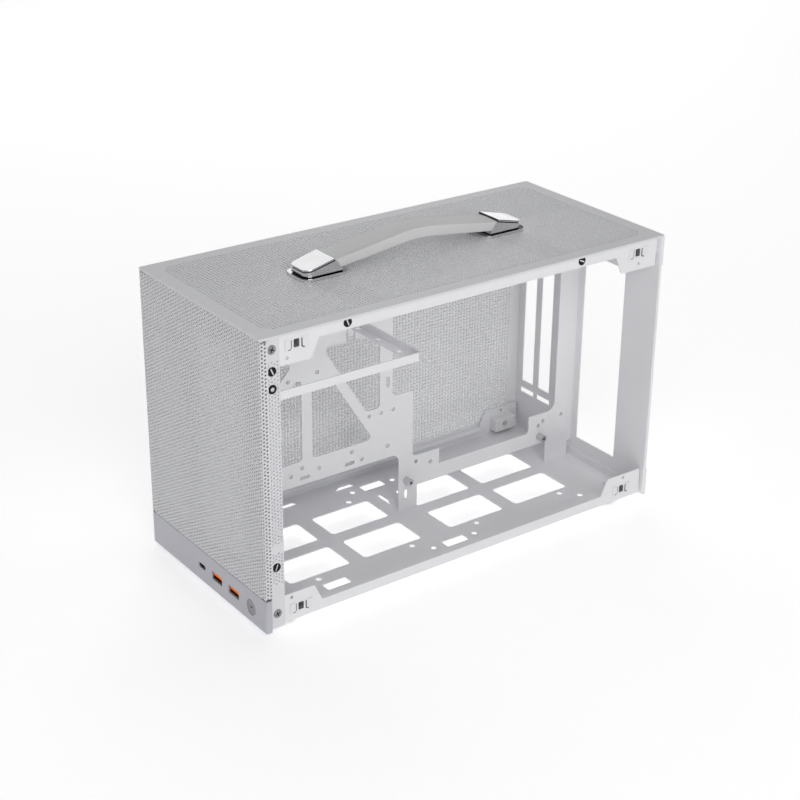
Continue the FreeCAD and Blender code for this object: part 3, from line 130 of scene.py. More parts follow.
class Tree:
    """Node tree of one material, with one method that adds any node."""

    def __init__(self, name: str) -> None:
        """Start an empty material.

        Args:
            name: Name of the material.
        """
        self.material = bpy.data.materials.new(name)
        self.material.use_nodes = True
        self.nodes = self.material.node_tree.nodes
        self.links = self.material.node_tree.links
        self.nodes.clear()

    def add(self, kind: str, settings: dict | None = None, inputs: dict | None = None,
            output: int = 0) -> Wire | None:
        """Add a node, set it up and link it.

        Args:
            kind: Node type.
            settings: Node properties by name.
            inputs: Socket values or wires, by socket name or number.
            output: Number of the output socket to return.

        Returns:
            The chosen output, or None where the node has no outputs.
        """
        node = self.nodes.new(kind)
        for key, setting in (settings or {}).items():
            setattr(node, key, setting)
        for key, value in (inputs or {}).items():
            if isinstance(value, Wire):
                self.links.new(value.socket, node.inputs[key])
            else:
                node.inputs[key].default_value = value
        return Wire(self, node.outputs[output]) if node.outputs else None

    def maths(self, operation: str, *values: Value) -> Wire:
        """Add a maths node.

        Args:
            operation: Name of the operation.
            values: Its operands.

        Returns:
            The result.
        """
        return self.add("ShaderNodeMath", {"operation": operation}, dict(enumerate(values)))

    def place(self, stretch: Triple = (1.0, 1.0, 1.0)) -> Wire:
        """Place on the object, in metres.

        Args:
            stretch: Factors along x, y and z.

        Returns:
            The stretched place.
        """
        spot = self.add("ShaderNodeTexCoord", output=3)
        return self.add("ShaderNodeMapping", inputs={"Vector": spot, "Scale": stretch})

    def noise(self, scale: float, detail: float = 2.0, stretch: Triple = (1.0, 1.0, 1.0)) -> Wire:
        """Soft noise on the object.

        Args:
            scale: Cells a metre.
            detail: Octaves.
            stretch: Factors along x, y and z.

        Returns:
            Noise from 0 to 1.
        """
        return self.add("ShaderNodeTexNoise", None,
                        {"Vector": self.place(stretch), "Scale": scale, "Detail": detail})

    def cells(self, scale: float, feature: str = "DISTANCE_TO_EDGE") -> Wire:
        """Cell pattern on the object.

        Args:
            scale: Cells a metre.
            feature: Voronoi feature.

        Returns:
            Distance in the pattern.
        """
        return self.add("ShaderNodeTexVoronoi", {"feature": feature},
                        {"Vector": self.place(), "Scale": scale})

    def blend(self, factor: Value, first: "Colour | Wire", second: "Colour | Wire") -> Wire:
        """Mix two colours.

        Args:
            factor: Share of the second.
            first: First colour.
            second: Second colour.

        Returns:
            The mixed colour.
        """
        sides = [side if isinstance(side, Wire) else (*side, 1.0) for side in (first, second)]
        return self.add("ShaderNodeMix", {"data_type": "RGBA"}, {0: factor, 6: sides[0], 7: sides[1]}, 2)

    def bump(self, height: Wire, distance: float) -> Wire:
        """Bumped normal.

        Args:
            height: Height from 0 to 1.
            distance: Height of the bump in metres.

        Returns:
            The normal.
        """
        return self.add("ShaderNodeBump", None, {"Height": height, "Distance": distance})

    def surface(self, inputs: dict) -> None:
        """Add the surface shader and link it to the output.

        Args:
            inputs: Socket values or wires of the shader, by name.
        """
        shader = self.add("ShaderNodeBsdfPrincipled", None, inputs)
        self.add("ShaderNodeOutputMaterial", None, {"Surface": shader})


def shade(colour: Colour, factor: float) -> Colour:
    """Lighten or darken a colour.

    Args:
        colour: The colour.
        factor: Factor on each channel.

    Returns:
        The changed colour.
    """
    return tuple(min(1.0, channel * factor) for channel in colour)


@dataclass(frozen=True)
class Finish:
    """A surface finish, which makes its material once."""

    name: str
    slot: str
    colour: Colour
    roughness: float

    def material(self) -> bpy.types.Material:
        """Find or make the material.

        Returns:
            The material.
        """
        found = bpy.data.materials.get(self.name)
        if found:
            return found
        tree = Tree(self.name)
        tree.surface(self.sockets(tree))
        tree.material.diffuse_color = (*self.colour, 1.0)
        return tree.material

    def sockets(self, tree: Tree) -> dict:
        """Shader inputs of the finish.

        Args:
            tree: The tree to add nodes to.

        Returns:
            Socket values or wires by name.
        """
        raise NotImplementedError

    def clouded(self, tree: Tree, scale: float, depth: float) -> dict:
        """Colour and roughness that drift slightly over the surface.

        Args:
            tree: The tree to add nodes to.
            scale: Clouds a metre.
            depth: Share by which the colour drifts.

        Returns:
            Base colour and roughness inputs.
        """
        cloud = tree.noise(scale, 3.0).span(0.3, 0.7)
        deep, pale = shade(self.colour, 1.0 - depth), shade(self.colour, 1.0 + depth)
        return {"Base Color": tree.blend(cloud, deep, pale),
                "Roughness": cloud * (0.2 * self.roughness) + 0.9 * self.roughness}


@dataclass(frozen=True)
class PowderCoat(Finish):
    """Satin powder coat with a fine orange peel."""

    peel: float = 900.0
    grain: float = 3600.0
    height: float = 1.2e-5

    def sockets(self, tree: Tree) -> dict:
        """Shader inputs: drifting white, peel and grain in the bump."""
        relief = tree.noise(self.peel) * 0.7 + tree.noise(self.grain) * 0.3
        return {**self.clouded(tree, 14.0, 0.012), "Normal": tree.bump(relief, self.height),
                "Coat Weight": 0.12, "Coat Roughness": 0.18}


@dataclass(frozen=True)
class Anodised(Finish):
    """Fine blasted and anodised metal."""

    grain: float = 5200.0

    def sockets(self, tree: Tree) -> dict:
        """Shader inputs: half metallic with a blasted grain."""
        grain = tree.noise(self.grain, 1.0)
        return {**self.clouded(tree, 30.0, 0.02), "Metallic": 0.35, "Normal": tree.bump(grain, 8e-6)}


@dataclass(frozen=True)
class Moulded(Finish):
    """Moulded plastic or solder mask."""

    grain: float = 2400.0
    coat: float = 0.0

    def sockets(self, tree: Tree) -> dict:
        """Shader inputs: fine spark grain, and a coat where it is glossy."""
        grain = tree.noise(self.grain, 1.0)
        return {**self.clouded(tree, 60.0, 0.03), "Normal": tree.bump(grain, 1e-5),
                "Coat Weight": self.coat, "Coat Roughness": 0.1}


@dataclass(frozen=True)
class PaintedGlowPlastic(Moulded):
    """Dull plastic with a painted glow in its own colour, which brightens it where it sits in shade."""

    glow: float = 0.25

    def sockets(self, tree: Tree) -> dict:
        """Shader inputs: those of moulded plastic, and a painted glow in its own colour."""
        return {**super().sockets(tree), "Specular IOR Level": 0.1, "Emission Color": (*self.colour, 1.0),
                "Emission Strength": self.glow}


@dataclass(frozen=True)
class Plated(Finish):
    """Plated steel with turning marks along an axis."""

    stretch: Triple = (1.0, 1.0, 1.0)
    depth: float = 0.08

    def sockets(self, tree: Tree) -> dict:
        """Shader inputs: bright metal with fine lines."""
        lines = tree.noise(4200.0, 1.0, self.stretch)
        return {**self.clouded(tree, 220.0, self.depth), "Metallic": 1.0, "Normal": tree.bump(lines, 6e-6)}


@dataclass(frozen=True)
class Rubber(Finish):
    """Dull rubber with dusty patches."""

    def sockets(self, tree: Tree) -> dict:
        """Shader inputs: dark and rough, with a pebbled bump."""
        pebble = tree.cells(1500.0, "F1")
        return {**self.clouded(tree, 90.0, 0.3), "Normal": tree.bump(pebble, 4e-5),
                "Specular IOR Level": 0.15}


@dataclass(frozen=True)
class Hide(Finish):
    """Smooth pale hide with pores and faint creases."""

    pores: float = 1500.0

    def sockets(self, tree: Tree) -> dict:
        """Shader inputs: pores and stretched creases in bump and tint.

        Args:
            tree: The tree to add nodes to.

        Returns:
            Socket values or wires by name.
        """
        pores = tree.cells(self.pores).span(0.0, 0.22)
        crease = tree.noise(260.0, 3.0, (1.0, 0.35, 1.0))
        relief = pores * 0.55 + crease * 0.45
        tint = tree.blend(pores * 0.5 + crease * 0.5, shade(self.colour, 0.93), shade(self.colour, 1.02))
        return {"Base Color": tint, "Roughness": crease * 0.14 + (self.roughness - 0.07),
                "Normal": tree.bump(relief, 2.6e-5), "Sheen Weight": 0.06}


@dataclass(frozen=True)
class Mirror(Finish):
    """Polished plating with faint handling haze."""

    def sockets(self, tree: Tree) -> dict:
        """Shader inputs: mirror metal whose haze drifts.

        Args:
            tree: The tree to add nodes to.

        Returns:
            Socket values or wires by name.
        """
        haze = tree.noise(70.0, 4.0).span(0.35, 0.75)
        ripple = tree.noise(120.0, 1.0)
        return {"Base Color": tree.blend(haze, shade(self.colour, 1.02), shade(self.colour, 0.96)),
                "Roughness": haze * 0.07 + self.roughness, "Metallic": 1.0,
                "Normal": tree.bump(ripple, 1.2e-5)}


@dataclass(frozen=True)
class Spun(Finish):
    """Metal face with fine rings about a dark core."""

    centre: Spot = (0.0, 0.0)
    rings: float = 4200.0
    core: float = 0.9 * MM

    def sockets(self, tree: Tree) -> dict:
        """Shader inputs: rings about the centre in bump and tint, and a dark core.

        Args:
            tree: The tree to add nodes to.

        Returns:
            Socket values or wires by name.
        """
        axes = tree.add("ShaderNodeSeparateXYZ", None, {"Vector": tree.place()})
        height = Wire(tree, axes.socket.node.outputs[2])
        radius = ((axes - self.centre[0]) ** 2.0 + (height - self.centre[1]) ** 2.0) ** 0.5
        ring = (radius * (self.rings * math.tau)).sine() * 0.5 + 0.5
        haze = tree.noise(300.0)
        face = tree.blend(ring * 0.5 + haze * 0.5, shade(self.colour, 0.86), shade(self.colour, 1.06))
        past = radius.span(self.core * 0.85, self.core * 1.1)
        return {"Base Color": tree.blend(past, shade(self.colour, 0.2), face),
                "Roughness": haze * 0.1 + self.roughness, "Metallic": 1.0,
                "Normal": tree.bump(ring, 5e-6)}


WHITE_COAT = PowderCoat("satin_white_coat", "white_steel", (0.885, 0.885, 0.905), 0.42)
# One white coat in three copies: the top and front mesh are painted darker as painted shade, and the side
# panel is painted lighter as painted light.
SHADED_MESH_COAT = PowderCoat("painted_shade_mesh_coat", "perforated_steel", (0.79, 0.79, 0.815), 0.42)
LIT_PANEL_COAT = PowderCoat("painted_light_panel_coat", "perforated_steel", (0.94, 0.94, 0.955), 0.42)
BAND = Anodised("silver_blasted_band", "band_metal", (0.54, 0.54, 0.585), 0.44)
CLIP = Moulded("white_clip_plastic", "clip_plastic", (0.86, 0.86, 0.865), 0.5)
# A grey copy of the white clip plastic for the socket wall: painted shade inside the bore.
SOCKET = Moulded("shaded_socket_plastic", "clip_plastic", (0.30, 0.30, 0.31), 0.6)
DARK = Moulded("dull_dark_plastic", "dark_plastic", (0.014, 0.014, 0.015), 0.45)
# The orange tongue glows: painted light that brightens it in the port's shaded mouth.
ORANGE = PaintedGlowPlastic("painted_glow_orange_plastic", "orange_plastic", (1.0, 0.17, 0.0), 0.6)
MASK = Moulded("dark_solder_mask", "circuit_board", (0.012, 0.02, 0.016), 0.35, grain=900.0, coat=0.4)
STEEL = Plated("plated_steel", "stud_steel", (0.62, 0.62, 0.63), 0.24)
SCREW = Plated("grey_plated_screw", "screw_steel", (0.30, 0.30, 0.31), 0.3, (1.0, 3.0, 0.3), 0.15)
BLACK = Plated("black_zinc_screw", "black_screw", (0.02, 0.02, 0.021), 0.28, (1.0, 3.0, 0.3), 0.2)
SHELL = Plated("port_shell_metal", "port_metal", (0.66, 0.66, 0.67), 0.26, (1.0, 0.1, 1.0))
PIN = Plated("gilt_contact", "port_metal", (0.72, 0.52, 0.22), 0.22, (1.0, 0.1, 1.0))
FOOT = Rubber("dull_black_rubber", "foot_rubber", (0.022, 0.022, 0.023), 0.78)
# One hide in two copies: the strap's top is painted darker as painted shade, and its sides are painted
# lighter as painted light.
SHADED_STRAP_TOP = Hide("painted_shade_strap_hide", "strap_hide", (0.75, 0.75, 0.76), 0.5)
LIT_STRAP_SIDE = Hide("painted_light_strap_side", "strap_hide", (0.93, 0.93, 0.93), 0.36, pores=2600.0)
CHROME = Mirror("polished_chrome", "bright_metal", (0.86, 0.86, 0.87), 0.045)
# Near-black chrome for the end blocks' seams: painted shade.
SHADE_SEAM = Mirror("painted_shade_chrome_seam", "bright_metal", (0.05, 0.05, 0.052), 0.16)


class Shape:
    """Points and faces of one mesh piece."""

    def __init__(self) -> None:
        """Start an empty shape."""
        self.points: list[Vector] = []
        self.faces: list[Corners] = []
        self.numbers: list[int] = []
        self.soft: list[bool] = []

    def point(self, place: Vector) -> int:
        """Add a point.

        Args:
            place: Its place in metres.

        Returns:
            Its number.
        """
        self.points.append(place)
        return len(self.points) - 1

    def ring(self, places: Iterable[Vector]) -> list[int]:
        """Add several points.

        Args:
            places: Their places in metres.

        Returns:
            Their numbers.
        """
        return [self.point(place) for place in places]

    def face(self, corners: Corners, number: int = 0, soft: bool = False) -> None:
        """Add a face.

        Args:
            corners: Numbers of its points.
            number: Number of its finish.
            soft: Whether it is shaded smooth.
        """
        self.faces.append(corners)
        self.numbers.append(number)
        self.soft.append(soft)

    def band(self, first: Corners, second: Corners, number: int = 0, soft: bool = False,
             numbers: Sequence[int] = ()) -> None:
        """Join two closed rings of equal length by quads.

        Args:
            first: Ring at the start.
            second: Ring at the end.
            number: Number of the finish.
            soft: Whether the quads are shaded smooth.
            numbers: Number of each quad's finish, where they differ.
        """
        count = len(first)
        for index in range(count):
            after = (index + 1) % count
            quad = (first[index], first[after], second[after], second[index])
            self.face(quad, numbers[index] if numbers else number, soft)

    def loft(self, rings: Sequence[Sequence[Vector]], number: int = 0, soft: bool = True,
             ends: tuple[bool, bool] = (True, True), numbers: Sequence[int] = ()) -> None:
        """Skin a row of closed rings, each seen counter-clockwise from its end.

        Args:
            rings: Places of each ring.
            number: Number of the finish.
            soft: Whether the sides are shaded smooth.
            ends: Whether the first and last ring are closed.
            numbers: Number of the finish of each strip, where they differ.
        """
        laid = [self.ring(ring) for ring in rings]
        for first, second in zip(laid, laid[1:]):
            self.band(first, second, number, soft, numbers)
        if ends[0]:
            self.face(list(reversed(laid[0])), number)
        if ends[1]:
            self.face(laid[-1], number)

    def piece(self, name: str, finishes: Sequence[Finish], body: str,
              replaced: Sequence[str] = ()) -> bpy.types.Object:
        """Make the object, put it on its body and log it.

        Args:
            name: Name of the piece.
            finishes: Its finishes, in the order of their numbers.
            body: Body that it rides on.
            replaced: Nodes that it stands for.

        Returns:
            The object.
        """
        mesh = bpy.data.meshes.new(name)
        mesh.from_pydata(self.points, [], self.faces)
        for finish in finishes:
            mesh.materials.append(finish.material())
        mesh.polygons.foreach_set("material_index", self.numbers)
        mesh.polygons.foreach_set("use_smooth", self.soft)
        mesh.validate()
        made = bpy.data.objects.new(name, mesh)
        bpy.context.scene.collection.objects.link(made)
        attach(made, body)
        if replaced:
            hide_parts(*replaced)
        LOG.info("%s: %d faces on %s", name, len(mesh.polygons), body)
        return made


class Lattice(Enum):
    """Layouts of round holes in a sheet."""

    SQUARE = "square"
    STAGGERED = "staggered"


@dataclass(frozen=True)
class Perforation:
    """A hole pattern: layout, spacing and hole size."""

    layout: Lattice
    pitch: float
    hole: float

    @property
    def corner(self) -> float:
        """Corner radius of a six-sided hole with the round hole's area."""
        return self.hole / 2 * math.sqrt(math.tau / (3 * math.sqrt(3)))

    @property
    def step(self) -> float:
        """Spacing of the columns."""
        return self.pitch * (math.sqrt(3) / 2 if self.layout is Lattice.STAGGERED else 1.0)

    def sites(self, wide: float, tall: float) -> tuple[int, int]:
        """Columns and rows that fill a field.

        Args:
            wide: Width of the field between outer hole centres.
            tall: Height of the field between outer hole centres.

        Returns:
            Number of columns and rows.
        """
        spare = self.pitch / 2 if self.layout is Lattice.STAGGERED else 0.0
        return int(wide / self.step + 1e-6) + 1, int((tall - spare) / self.pitch + 1e-6) + 1

    def centre(self, column: int, row: int) -> Spot:
        """Place of one hole from the first.

        Args:
            column: Its column.
            row: Its row.

        Returns:
            Its place across and up.
        """
        lift = self.pitch / 2 if self.layout is Lattice.STAGGERED and column % 2 else 0.0
        return column * self.step, row * self.pitch + lift

    def bridges(self, column: int, row: int) -> list[list[tuple[int, int, int]]]:
        """Sheet faces that start at one hole, each corner as column, row and hole corner.

        Args:
            column: Column of the hole.
            row: Row of the hole.

        Returns:
            The faces' corners.
        """
        if self.layout is Lattice.SQUARE:
            beam = [(column, row, 2), (column, row, 1), (column, row + 1, 5), (column, row + 1, 4)]
            web = [(column, row, 1), (column, row, 0), (column + 1, row, 3), (column + 1, row, 2),
                   (column + 1, row + 1, 4), (column + 1, row + 1, 3), (column, row + 1, 0),
                   (column, row + 1, 5)]
            return [beam, web]
        high = row + column % 2
        over = [(column, row, 0), (column + 1, high, 3), (column + 1, high, 2), (column, row + 1, 5),
                (column, row + 1, 4), (column, row, 1)]
        side = [(column, row, 5), (column + 1, high - 1, 2), (column + 1, high - 1, 1), (column + 1, high, 4),
                (column + 1, high, 3), (column, row, 0)]
        return [over, side]

    def outline(self, centre: Spot) -> list[Spot]:
        """Corners of one hole.

        Args:
            centre: Its centre.

        Returns:
            Its six corners, counter-clockwise.
        """
        turn = math.pi / 6 if self.layout is Lattice.STAGGERED else 0.0
        return [(centre[0] + self.corner * math.cos(turn + index * math.pi / 3),
                 centre[1] + self.corner * math.sin(turn + index * math.pi / 3)) for index in range(6)]


@dataclass(frozen=True)
class Sheet:
    """A flat rectangle of sheet in space, seen from its outer face."""

    origin: Vector
    across: Vector
    up: Vector
    wide: float
    tall: float
    thick: float

    def place(self, spot: Spot, depth: float = 0.0) -> Vector:
        """A place on the sheet.

        Args:
            spot: Distance across and up.
            depth: Depth below the outer face.

        Returns:
            The place in space.
        """
        return self.origin + self.across * spot[0] + self.up * spot[1] - self.across.cross(self.up) * depth

    def curved(self, u: float) -> bool:
        """Whether the sheet is bent at a distance across: never."""
        return False


@dataclass(frozen=True)
class WrappedSheet:
    """A front sheet folded back round both upright corners, measured along its outer face."""

    outer: float
    front: float
    base: float
    bend: float
    strip: float
    tall: float
    thick: float

    @property
    def arc(self) -> float:
        """Length round one bend."""
        return self.bend * math.pi / 2

    @property
    def flat(self) -> float:
        """Width of the flat front."""
        return 2 * (self.outer - self.bend)

    @property
    def wide(self) -> float:
        """Length from end to end."""
        return self.flat + 2 * (self.arc + self.strip)

    def past(self, u: float) -> float:
        """Distance past the flat front.

        Args:
            u: Distance from the far end.

        Returns:
            The distance, below zero on the flat front.
        """
        return abs(u - self.wide / 2) - self.flat / 2

    def place(self, spot: Spot, depth: float = 0.0) -> Vector:
        """A place on the sheet.

        Args:
            spot: Distance across and up.
            depth: Depth below the outer face.

        Returns:
            The place in space.
        """
        u, past = spot[0] - self.wide / 2, self.past(spot[0])
        turn = max(0.0, min(past / self.bend, math.pi / 2))
        radius = self.bend - depth
        x = self.outer - self.bend + min(past, 0.0) + radius * math.sin(turn)
        y = self.front + self.bend - radius * math.cos(turn) + max(past - self.arc, 0.0)
        return Vector((math.copysign(x, u), y, self.base + spot[1]))

    def curved(self, u: float) -> bool:
        """Whether the sheet is bent at a distance across.

        Args:
            u: Distance from the far end.

        Returns:
            True inside a bend.
        """
        return 0.0 < self.past(u) < self.arc


class PerforatedSheet:
    """Adds a perforated sheet to a shape, with real holes."""

    MARGIN_CORNERS = 10

    def __init__(self, shape: Shape, sheet: Sheet | WrappedSheet, holes: Perforation, start: Spot,
                 field: Spot, open_at: Callable[[float, float], bool], round_corner: float = 0.0) -> None:
        """Lay out the sheet.

        Args:
            shape: Shape to add to.
            sheet: The sheet.
            holes: Its hole pattern.
            start: Centre of the first hole.
            field: Width and height of the hole field.
            open_at: Tells whether a hole is punched at a place.
            round_corner: Radius of the sheet's corners.
        """
        self.shape = shape
        self.sheet = sheet
        self.holes = holes
        self.start = start
        self.columns, self.rows = holes.sites(*field)
        self.open_at = open_at
        self.round_corner = round_corner

    def build(self) -> int:
        """Add the faces.

        Returns:
            Number of holes.
        """
        shape, sheet = self.shape, self.sheet
        spots: list[Spot] = []
        sites: list[Spot] = []
        for column in range(self.columns):
            for row in range(self.rows):
                u, v = self.holes.centre(column, row)
                centre = (self.start[0] + u, self.start[1] + v)
                sites.append(centre)
                spots += self.holes.outline(centre)
        webs = self.webs()
        closed = [list(range(site * 6, site * 6 + 6)) for site in range(len(sites))]
        margins, edge = self.margins(spots, webs + closed)
        front = shape.ring(sheet.place(spot) for spot in spots + edge)
        back = shape.ring(sheet.place(spot, sheet.thick) for spot in spots + edge)
        punched = 0
        for site, centre in enumerate(sites):
            if self.open_at(*centre):
                shape.band([front[index] for index in closed[site]], [back[index] for index in closed[site]])
                punched += 1
            else:
                webs.append(closed[site])
        for corners in webs + margins:
            web = len(corners) < self.MARGIN_CORNERS
            soft = web and any(sheet.curved(spots[index][0]) for index in corners)
            shape.face([front[index] for index in corners], soft=soft)
            shape.face([back[index] for index in reversed(corners)], soft=soft)
        loop = list(range(len(spots), len(front)))
        shape.band([back[index] for index in loop], [front[index] for index in loop])
        return punched

    def webs(self) -> list[list[int]]:
        """Sheet faces between the holes.

        Returns:
            The faces' corner numbers.
        """
        found = []
        for column in range(self.columns):
            for row in range(self.rows):
                for face in self.holes.bridges(column, row):
                    if all(0 <= c < self.columns and 0 <= r < self.rows for c, r, corner in face):
                        found.append([(c * self.rows + r) * 6 + corner for c, r, corner in face])
        return found

    def margins(self, spots: list[Spot], faces: list[list[int]]) -> tuple[list[list[int]], list[Spot]]:
        """Plain margins between the hole field and the sheet's edge.

        Args:
            spots: Places of the hole corners.
            faces: Faces of the field, holes included.

        Returns:
            The margin faces and the places on the sheet's edge, numbered after the hole corners.
        """
        sides = {(a, b) for face in faces for a, b in zip(face, face[1:] + face[:1])}
        after = {a: b for a, b in sides if (b, a) not in sides}
        first = min(after, key=lambda index: spots[index][0] + spots[index][1])
        loop = [first]
        while after[loop[-1]] != first:
            loop.append(after[loop[-1]])
        turns = [max(range(len(loop)), key=lambda k: su * spots[loop[k]][0] + sv * spots[loop[k]][1])
                 for su, sv in ((-1, -1), (1, -1), (1, 1), (-1, 1))]
        edge, groups = self.edge(len(spots))
        made = []
        for side in range(4):
            begin, end = turns[side], turns[(side + 1) % 4]
            chain = loop[begin:end + 1] if begin <= end else loop[begin:] + loop[:end + 1]
            here, there = groups[side], groups[(side + 1) % 4]
            middle = len(here) // 2
            made.append(here[middle:] + there[:middle + 1] + chain[::-1])
        return made, edge

    def edge(self, start: int) -> tuple[list[Spot], list[list[int]]]:
        """The sheet's outer edge, with round corners.

        Args:
            start: Number of its first place.

        Returns:
            The places and the numbers of each corner's places.
        """
        wide, tall, radius = self.sheet.wide, self.sheet.tall, self.round_corner
        places: list[Spot] = []
        groups: list[list[int]] = []
        steps = 4 if radius else 0
        for index, (u, v) in enumerate(((0, 0), (1, 0), (1, 1), (0, 1))):
            centre = (radius + u * (wide - 2 * radius), radius + v * (tall - 2 * radius))
            numbers = []
            for step in range(steps + 1):
                angle = math.pi + index * math.pi / 2 + (step / steps if steps else 0.0) * math.pi / 2
                numbers.append(start + len(places))
                places.append((centre[0] + radius * math.cos(angle), centre[1] + radius * math.sin(angle)))
            groups.append(numbers)
        return places, groups


def inside_round(u: float, v: float, low: Spot, high: Spot, radius: float) -> bool:
    """Whether a place lies in a rectangle with round corners.

    Args:
        u: Place across.
        v: Place up.
        low: Lower corner.
        high: Upper corner.
        radius: Corner radius.

    Returns:
        True inside.
    """
    du = max(low[0] + radius - u, u - high[0] + radius, 0.0)
    dv = max(low[1] + radius - v, v - high[1] + radius, 0.0)
    return du * du + dv * dv <= radius * radius


@dataclass(frozen=True)
class SkinSizes:
    """Sizes of the perforated skins, in metres."""

    panel_pitch: float = 2.92 * MM
    top_pitch: float = 2.7 * MM
    front_pitch: float = 2.64 * MM
    panel_hole: float = 1.75 * MM
    top_hole: float = 1.6 * MM
    front_hole: float = 1.62 * MM
    margin: float = 11.3 * MM
    slack: float = 0.98
    field_round: float = 7.0 * MM
    corner: float = 1.5 * MM
    cover: float = 1.5 * MM
    sheet: float = 1.0 * MM
    bend: float = 1.8 * MM
    step: float = 2.5 * MM
    return_deep: float = 6.0 * MM
    seam: float = 0.3 * MM
    rim: float = 0.12 * MM
    strip_margin: float = 1.3 * MM
    pad: float = 4.0 * MM
    strip_low: float = 38.0 * MM
    strip_high: float = 200.5 * MM
    strip_bar: Spot = (62.0 * MM, 69.5 * MM)


class Skin:
    """The perforated front, top and side sheets."""

    def __init__(self, sizes: SkinSizes, screws: Sequence[float]) -> None:
        """Take the sizes.

        Args:
            sizes: Sizes of the skins.
            screws: Heights of the strip screws, which have plain pads.
        """
        self.sizes = sizes
        self.screws = screws

    def build(self) -> None:
        """Build the three sheets in place of their nodes."""
        self.flat("top_panel", (Vector((1, 0, 0)), Vector((0, 1, 0))), self.sizes.top_pitch,
                  self.sizes.top_hole, "case")
        self.flat("side_panel", (Vector((0, -1, 0)), Vector((0, 0, 1))), self.sizes.panel_pitch,
                  self.sizes.panel_hole, "side_panel")
        self.front()

    def flat(self, node: str, axes: tuple[Vector, Vector], pitch: float, hole: float, body: str) -> None:
        """Build a flat sheet with a square hole field and plain margins.

        Args:
            node: Node that it stands for.
            axes: Directions across and up, seen from outside.
            pitch: Hole spacing.
            hole: Hole diameter.
            body: Body that it rides on.
        """
        low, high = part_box(node)
        across, up = axes
        out = across.cross(up)
        corner = Vector([high[i] if across[i] + up[i] < 0 or out[i] > 0 else low[i] for i in range(3)])
        span = high - low
        wide, tall = abs(span.dot(across)), abs(span.dot(up))
        margin = self.sizes.margin
        holes = Perforation(Lattice.SQUARE, pitch, hole)
        field = (wide - 2 * margin, tall - 2 * margin)
        columns, rows = holes.sites(*field)
        start = ((wide - (columns - 1) * pitch) / 2, (tall - (rows - 1) * pitch) / 2)
        inset = margin * self.sizes.slack

        def punched(u: float, v: float) -> bool:
            """Whether a hole is punched at a place."""
            return inside_round(u, v, (inset, inset), (wide - inset, tall - inset), self.sizes.field_round)

        shape = Shape()
        sheet = Sheet(corner, across, up, wide, tall, self.sizes.cover)
        count = PerforatedSheet(shape, sheet, holes, start, field, punched, self.sizes.corner).build()
        # The side panel takes the lighter copy of the coat and the top the darker one: painted light and
        # shade.
        shape.piece("skin_" + node, [LIT_PANEL_COAT if node == "side_panel" else SHADED_MESH_COAT], body, [node])
        LOG.info("%s: %d holes", node, count)

    def front(self) -> None:
        """Build the front sheet, folded round both corners to stepped side strips."""
        low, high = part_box("front_mesh")
        sizes = self.sizes
        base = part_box("front_band")[1].z + sizes.seam
        shape = Shape()
        holes = Perforation(Lattice.STAGGERED, sizes.front_pitch, sizes.front_hole)
        wrapped = WrappedSheet(high.x, low.y, base, sizes.bend, sizes.return_deep - sizes.bend, high.z - base,
                               sizes.sheet)
        self.fill(shape, wrapped, holes, lambda u, v: True)
        for side in (1.0, -1.0):
            self.step(shape, side, base)
            self.strip(shape, holes, side)
        shape.piece("skin_front_mesh", [SHADED_MESH_COAT], "case", ["front_mesh"])

    def fill(self, shape: Shape, sheet: Sheet | WrappedSheet, holes: Perforation,
             open_at: Callable[[float, float], bool], margin: float = 0.0) -> None:
        """Fill a sheet with holes as far as they fit.

        Args:
            shape: Shape to add to.
            sheet: The sheet.
            holes: Hole pattern.
            open_at: Tells where holes are punched, from the sheet's corner.
            margin: Least plain margin beside the outer columns.
        """
        reach = holes.corner + self.sizes.rim
        field = (sheet.wide - 2 * max(reach, margin), sheet.tall - 2 * reach)
        columns, rows = holes.sites(*field)
        wide = holes.centre(columns - 1, 0)[0]
        tall = holes.centre(1, rows - 1)[1]
        start = ((sheet.wide - wide) / 2, (sheet.tall - tall) / 2)
        PerforatedSheet(shape, sheet, holes, start, field, open_at).build()

    def step(self, shape: Shape, side: float, base: float) -> None:
        """Add the plain step between the two strips of one side.

        Args:
            shape: Shape to add to.
            side: 1 for the open side and -1 for the far one.
            base: Height where the mesh starts.
        """
        low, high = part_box("front_mesh")
        thick, joint = self.sizes.sheet, low.y + self.sizes.return_deep
        outer, inner = high.x - thick, high.x - self.sizes.step - thick
        plan = [(inner, joint - thick), (outer, joint - thick), (outer, joint), (inner, joint)]
        turned = plan if side > 0 else plan[::-1]
        shape.loft([[Vector((side * x, y, z)) for x, y in turned] for z in (base, high.z)], soft=False)

    def strip(self, shape: Shape, holes: Perforation, side: float) -> None:
        """Add the inner strip of one side, with plain ends and pads for its screws.

        Args:
            shape: Shape to add to.
            holes: Hole pattern.
            side: 1 for the open side and -1 for the far one.
        """
        low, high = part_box("front_mesh")
        sizes = self.sizes
        joint = low.y + sizes.return_deep
        wide = high.y - joint
        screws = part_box("strip_screws")
        middle = (screws[0].y + screws[1].y) / 2 - joint

        def punched(u: float, v: float) -> bool:
            """Whether a hole is punched at a place.

            Args:
                u: Place across.
                v: Place up.

            Returns:
                True between the plain ends, clear of the bar and the screws.
            """
            along, z = (u if side > 0 else wide - u), v + low.z
            bar = sizes.strip_bar[0] < z < sizes.strip_bar[1]
            near = any((along - middle) ** 2 + (z - level) ** 2 < sizes.pad ** 2 for level in self.screws)
            return sizes.strip_low < z < sizes.strip_high and not bar and not near

        origin = Vector((side * (high.x - sizes.step), joint if side > 0 else high.y, low.z))
        sheet = Sheet(origin, Vector((0, side, 0)), Vector((0, 0, 1)), wide, high.z - low.z, sizes.sheet)
        self.fill(shape, sheet, holes, punched, sizes.strip_margin)


class Drive(Enum):
    """Recesses of a screw head."""

    CROSS = "cross"
    SLOT = "slot"
    SOCKET = "socket"


